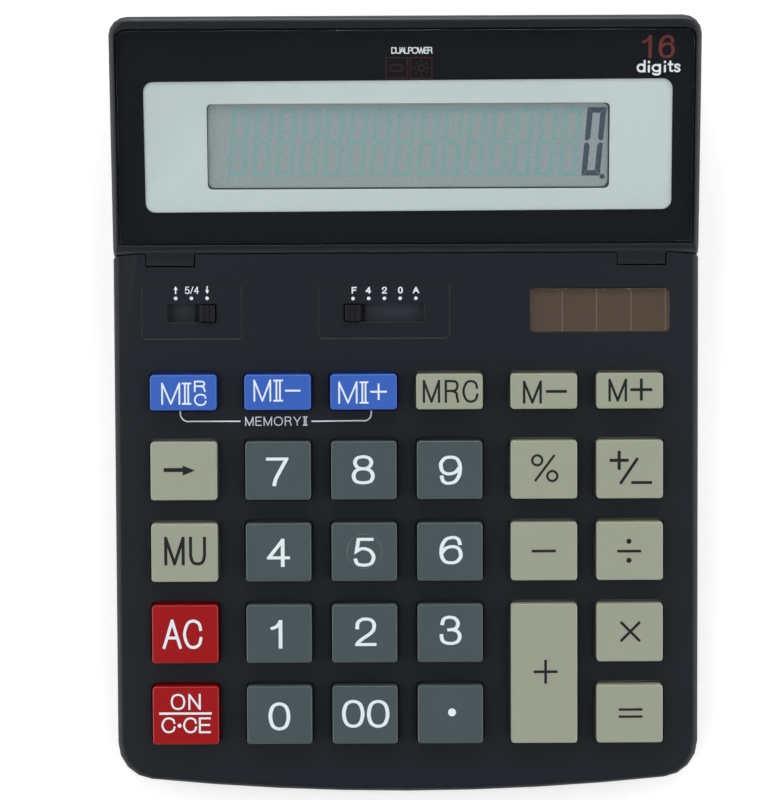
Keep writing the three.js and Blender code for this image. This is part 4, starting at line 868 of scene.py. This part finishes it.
# The battery is one cell in a shrunk film jacket between two nickel-plated spring steel contacts,
# which are stamped and bent and pressed into the bay.
nickel = moulded("nickel_plated_steel", "#b3b2ac", "#c2c1bb", 0.25, 0.25, 0.003, metal=1.0)
for contact in ("battery_contact_positive", "battery_contact_negative"):
    soften(placed(contact + "_spring", merged(contact), "body", [nickel], "steel", contact), 0.06)
jacket = moulded("pvc_shrink_film", "#5c6165", "#676c70", 0.35, 0.6, 0.006)
cell = placed("battery_cell_jacket", merged("battery_cell"), "body", [jacket, nickel], "cell_can",
              "battery_cell")
cell_low, cell_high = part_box("battery_cell")
for face in cell.data.polygons:
    if face.center.x > cell_high.x - 1.4 * mm or face.center.x < cell_low.x + 0.05 * mm:
        face.material_index = 1
soften(cell, 0.15)


# The display head turns on two steel pins that are pressed into its roll. A flat amber polyimide
# cable runs from the board through the roll to the display.
for side in ("left", "right"):
    pin = "hinge_pin_" + side
    soften(placed("hinge_pins_" + side, merged(pin), "body", [zinc], "steel", pin), 0.15)
dressed("display_ribbon", moulded("polyimide_flat_cable", "#8f6524", "#a3742c", 0.35, 1, 0.006))


# Behind the clear acrylic lens lie a white moulded mask with a window and the liquid-crystal
# panel. The lens is printed black from behind, with a window for the mask, which makes its
# border deep and glossy.
back_ink = moulded("screen_ink_black", "#0e1116", "#101319", 0.5, 0.4, 0.003, specular=0.05)
lens = placed("lens_pane", merged("display_lens"), "display", [acrylic, back_ink], "clear_lens",
              "display_lens")
# The sides of the lens take the black ink too: edge ink, and with it painted shade that darkens the
# seam round the lens.
for face in lens.data.polygons:
    if abs((head.inverted().to_3x3() @ face.normal).z) < 0.7:
        face.material_index = 1
soften(lens, 0.1)
lens_low, lens_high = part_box("display_lens")
lens_width = (lens_high.x - lens_low.x) / mm
lens_depth, lens_front, lens_bottom, lens_corner = 57, 0.5, 3, 2.7
border = rounded(lens_width, lens_depth, lens_corner, 0, lens_front + lens_depth / 2)
# the window was printed a little askew
askew = Matrix.Rotation(math.radians(0.17), 2)
window = [Vector((0.69, 26.47)) + askew @ Vector(v) for v in rounded(139.3, 34.77, 2.6)]
lens_border = plate(border, window, (lens_bottom - 0.09, lens_bottom - 0.05), head)
placed("lens_border_print", lens_border, "display", [back_ink], "black_plastic")
mask_white = moulded("polystyrene_mask", "#c0cbcb", "#c4d0cf", 0.5, 0.4, 0.006)
soften(placed("display_mask", merged("lcd_mask"), "display", [mask_white], "mask_plastic",
              "lcd_mask"), 0.12)
panel = moulded("polarised_glass", "#949d9e", "#959e9f", 0.28, 0.4, 0)
soften(placed("display_panel", merged("lcd_panel"), "display", [panel], "lcd_glass", "lcd_panel"),
       0.1)


# Sixteen figures of seven bars lie in the liquid crystal. Those that are off show a little
# greener than the glass; the last one shows a nought, with the decimal point behind it.
def figure(kind, x, bar, lift):
    """A leaning nought or eight of separate bars with bevelled ends, standing on x."""
    low_y, high_y, width, lean = 18.13, 36.33, 4.9, math.tan(math.radians(5))
    half = (high_y - low_y) / 2
    side = [(0, 0.12), (bar, bar + 0.12), (bar, half - bar / 2 - 0.2), (bar / 2, half - 0.2),
            (0, half - 0.5)]
    bars = [[(0, 0), (width, 0), (width - bar, bar), (bar, bar)], side,
            [(width - u, v) for u, v in reversed(side)]]
    bars += [[(u, 2 * half - v) for u, v in reversed(lower)] for lower in bars]
    if kind == "eight":
        bars.append([(bar * 0.6, half), (bar, half - bar / 2), (width - bar, half - bar / 2),
                     (width - bar * 0.6, half), (width - bar, half + bar / 2),
                     (bar, half + bar / 2)])
    work = bmesh.new()
    for line in bars:
        work.faces.new([work.verts.new(((x + u - width / 2 + (v - half) * lean) * mm,
                                        (low_y + v) * mm, lift * mm)) for u, v in line])
    return as_mesh(work)


crystal_off = moulded("liquid_crystal_off", "#81a2a2", "#82a3a3", 0.28, 0.4, 0)
crystal_on = moulded("liquid_crystal_on", "#434e5a", "#47525e", 0.28, 0.4, 0)
panel_top = 1.6
figure_pitch, last_x = 6.25, 49.78
eights = made(row_recipe, row_sizes,
              figure("eight", last_x - 15 * figure_pitch, 1.25, panel_top + 0.015),
              {"Count": 15, "Pitch": figure_pitch * mm})
eights.transform(head)
printed("figures_off", eights, "display", crystal_off, "lcd_glass")
nought = figure("nought", last_x, 1.45, panel_top + 0.02)
nought.transform(head)
printed("figure_nought", nought, "display", crystal_on, "lcd_glass")
point = ink_mesh([("dot", 52.06, 17.89, 1.37, 1.37)], raised(head, panel_top + 0.02))
printed("decimal_point", point, "display", crystal_on, "lcd_glass")


# A thin dark line is painted on the glass inside the window of the mask: painted shade where
# the wall of the window shades the glass, wider at the right and at the bottom.
# painted shade: a dark grey line in place of the shadow that the window of the mask casts
window_shade_paint = moulded("panel_painted_shade", "#3d4547", "#42494b", 0.4, 0.4, 0)
shade_outer = rounded(107.3, 23.85, 1.2, 0.75, 26.275)
shade_inner = rounded(105.7, 22.35, 1.7, 0.62, 26.43)
painted_shade_line = plate(shade_outer, shade_inner, (panel_top + 0.01, panel_top + 0.03), head)
placed("panel_painted_shade", painted_shade_line, "display", [window_shade_paint], "lcd_glass")


# On the lens, above the window, stand the number of figures, two plain words and two small signs
# for the battery and the sun, printed from behind before the black.
on_lens = raised(head, lens_bottom - 0.005)
lens_red = moulded("ink_dark_red", "#66302c", "#6c3430", 0.4, 0.3, 0.003, specular=0.1)
lens_dim = moulded("ink_dim_red", "#3d1c1d", "#432021", 0.4, 0.3, 0.003, specular=0.1)
lens_white = moulded("ink_lens_white", "#dfe6ea", "#e6ecef", 0.4, 0.3, 0.003)
count_marks = [("1", 63.4, 52.42, 2.6, 6.08, 0.7), ("6", 68.6, 52.42, 4.27, 6.08, 0.7)]
power_marks = [("frame", -2.22, 47.12, 6.01, 5.69, 0.3), ("frame", -2.5, 47.12, 3.2, 1.9, 0.28),
               ("|", -0.6, 47.12, 0.3, 0.9),
               ("frame", 4.21, 47.09, 5.93, 5.69, 0.3), ("ring", 4.21, 47.09, 1.9, 1.9, 0.28)]
power_marks += [("dot", 4.21 + 1.75 * math.cos(a), 47.09 + 1.75 * math.sin(a), 0.5, 0.5)
                for a in [math.tau * i / 8 for i in range(8)]]
digits_word = [("d", 61.95, 47.27, 2.35, 3.24, 0.53), ("i", 64.0, 47.17, 0.55, 3.05),
               ("g", 65.95, 46.33, 2.45, 3.1, 0.53), ("i", 68.2, 47.17, 0.55, 3.05),
               ("t", 69.65, 47.2, 1.5, 3.0, 0.5), ("s", 71.45, 46.8, 1.75, 2.3, 0.5)]
supply_word = word("DUAL POWER", -3.63, 7.17, 51.7, 1.75, 0.26)
for name, marks, ink in (("lens_count_print", count_marks, lens_red),
                         ("lens_power_print", power_marks, lens_dim),
                         ("lens_white_print", digits_word + supply_word, lens_white)):
    printed(name, ink_mesh(marks, on_lens), "display", ink)


# The table and the wall round it are one sweep of matt white card. Soft lamps light it from
# both sides and from behind.
card, tree, where = new_finish("white_card")
fibre = add(tree, "ShaderNodeTexNoise", {"Vector": where, "Scale": 1 / (3 * mm)})
tone = add(tree, "ShaderNodeMix", {0: fibre.outputs["Fac"], 6: linear("#f0f0f0"),
                                   7: linear("#f4f4f4")}, data_type="RGBA")
paper = add(tree, "ShaderNodeBsdfDiffuse", {"Color": tone.outputs[2]})
path = add(tree, "ShaderNodeLightPath").outputs
seen = add(tree, "ShaderNodeMath", {0: path["Is Camera Ray"], 1: path["Is Glossy Ray"]},
           operation="MAXIMUM")
seen = add(tree, "ShaderNodeMath", {0: seen.outputs[0], 1: path["Is Transmission Ray"]},
           operation="MAXIMUM")
background_glow = 0.35
glow = add(tree, "ShaderNodeMath", {0: seen.outputs[0], 1: background_glow}, operation="MULTIPLY")
white = add(tree, "ShaderNodeEmission", {"Strength": glow.outputs[0]})
shown(tree, add(tree, "ShaderNodeAddShader", {0: paper.outputs[0],
                                              1: white.outputs[0]}).outputs[0])
# radius and height of the rings of the table, its rounded rise and the wall, in metres
room = bmesh.new()
around = [math.tau * i / 64 for i in range(64)]
rings = [[room.verts.new((radius * math.cos(a), radius * math.sin(a), height)) for a in around]
         for radius, height in ((0.6, 0), (1.6, 0), (2.2, 0), (2.35, 0.05), (2.45, 0.15),
                                (2.5, 0.3), (2.5, 1.6))]
room.faces.new(rings[0])
joined_rings(room, rings)
bmesh.ops.recalc_face_normals(room, faces=room.faces)
bmesh.ops.reverse_faces(room, faces=room.faces)
table = in_scene("table_and_wall", as_mesh(room))
table.data.materials.append(card)
for face in table.data.polygons:
    face.use_smooth = True


def softbox(name, place, width, height, power):
    """A soft lamp aimed at the calculator; through the lens its light counts only once."""
    lamp = in_scene(name, bpy.data.lights.new(name, "AREA"))
    lamp.data.shape = "RECTANGLE"
    lamp.data.size = width
    lamp.data.size_y = height
    lamp.data.energy = power
    lamp.location = place
    lamp.rotation_euler = (-Vector(place)).to_track_quat("-Z", "Y").to_euler()
    lamp.visible_camera = False
    lamp.visible_transmission = False


softbox("lamp_left", (-1.6, -0.2, 1.4), 2.5, 2.5, 30)
softbox("lamp_right", (1.6, -0.2, 1.4), 2.5, 2.5, 27)
softbox("lamp_rear", (0, 1.75, 1.2), 1.9, 0.75, 29)
world = bpy.data.worlds.new("studio")
world.use_nodes = True
sky = world.node_tree.nodes["Background"].inputs
sky["Color"].default_value = linear("#e6edf7")
sky["Strength"].default_value = 0.08
bpy.context.scene.world = world
bpy.context.scene.view_settings.view_transform = "Standard"
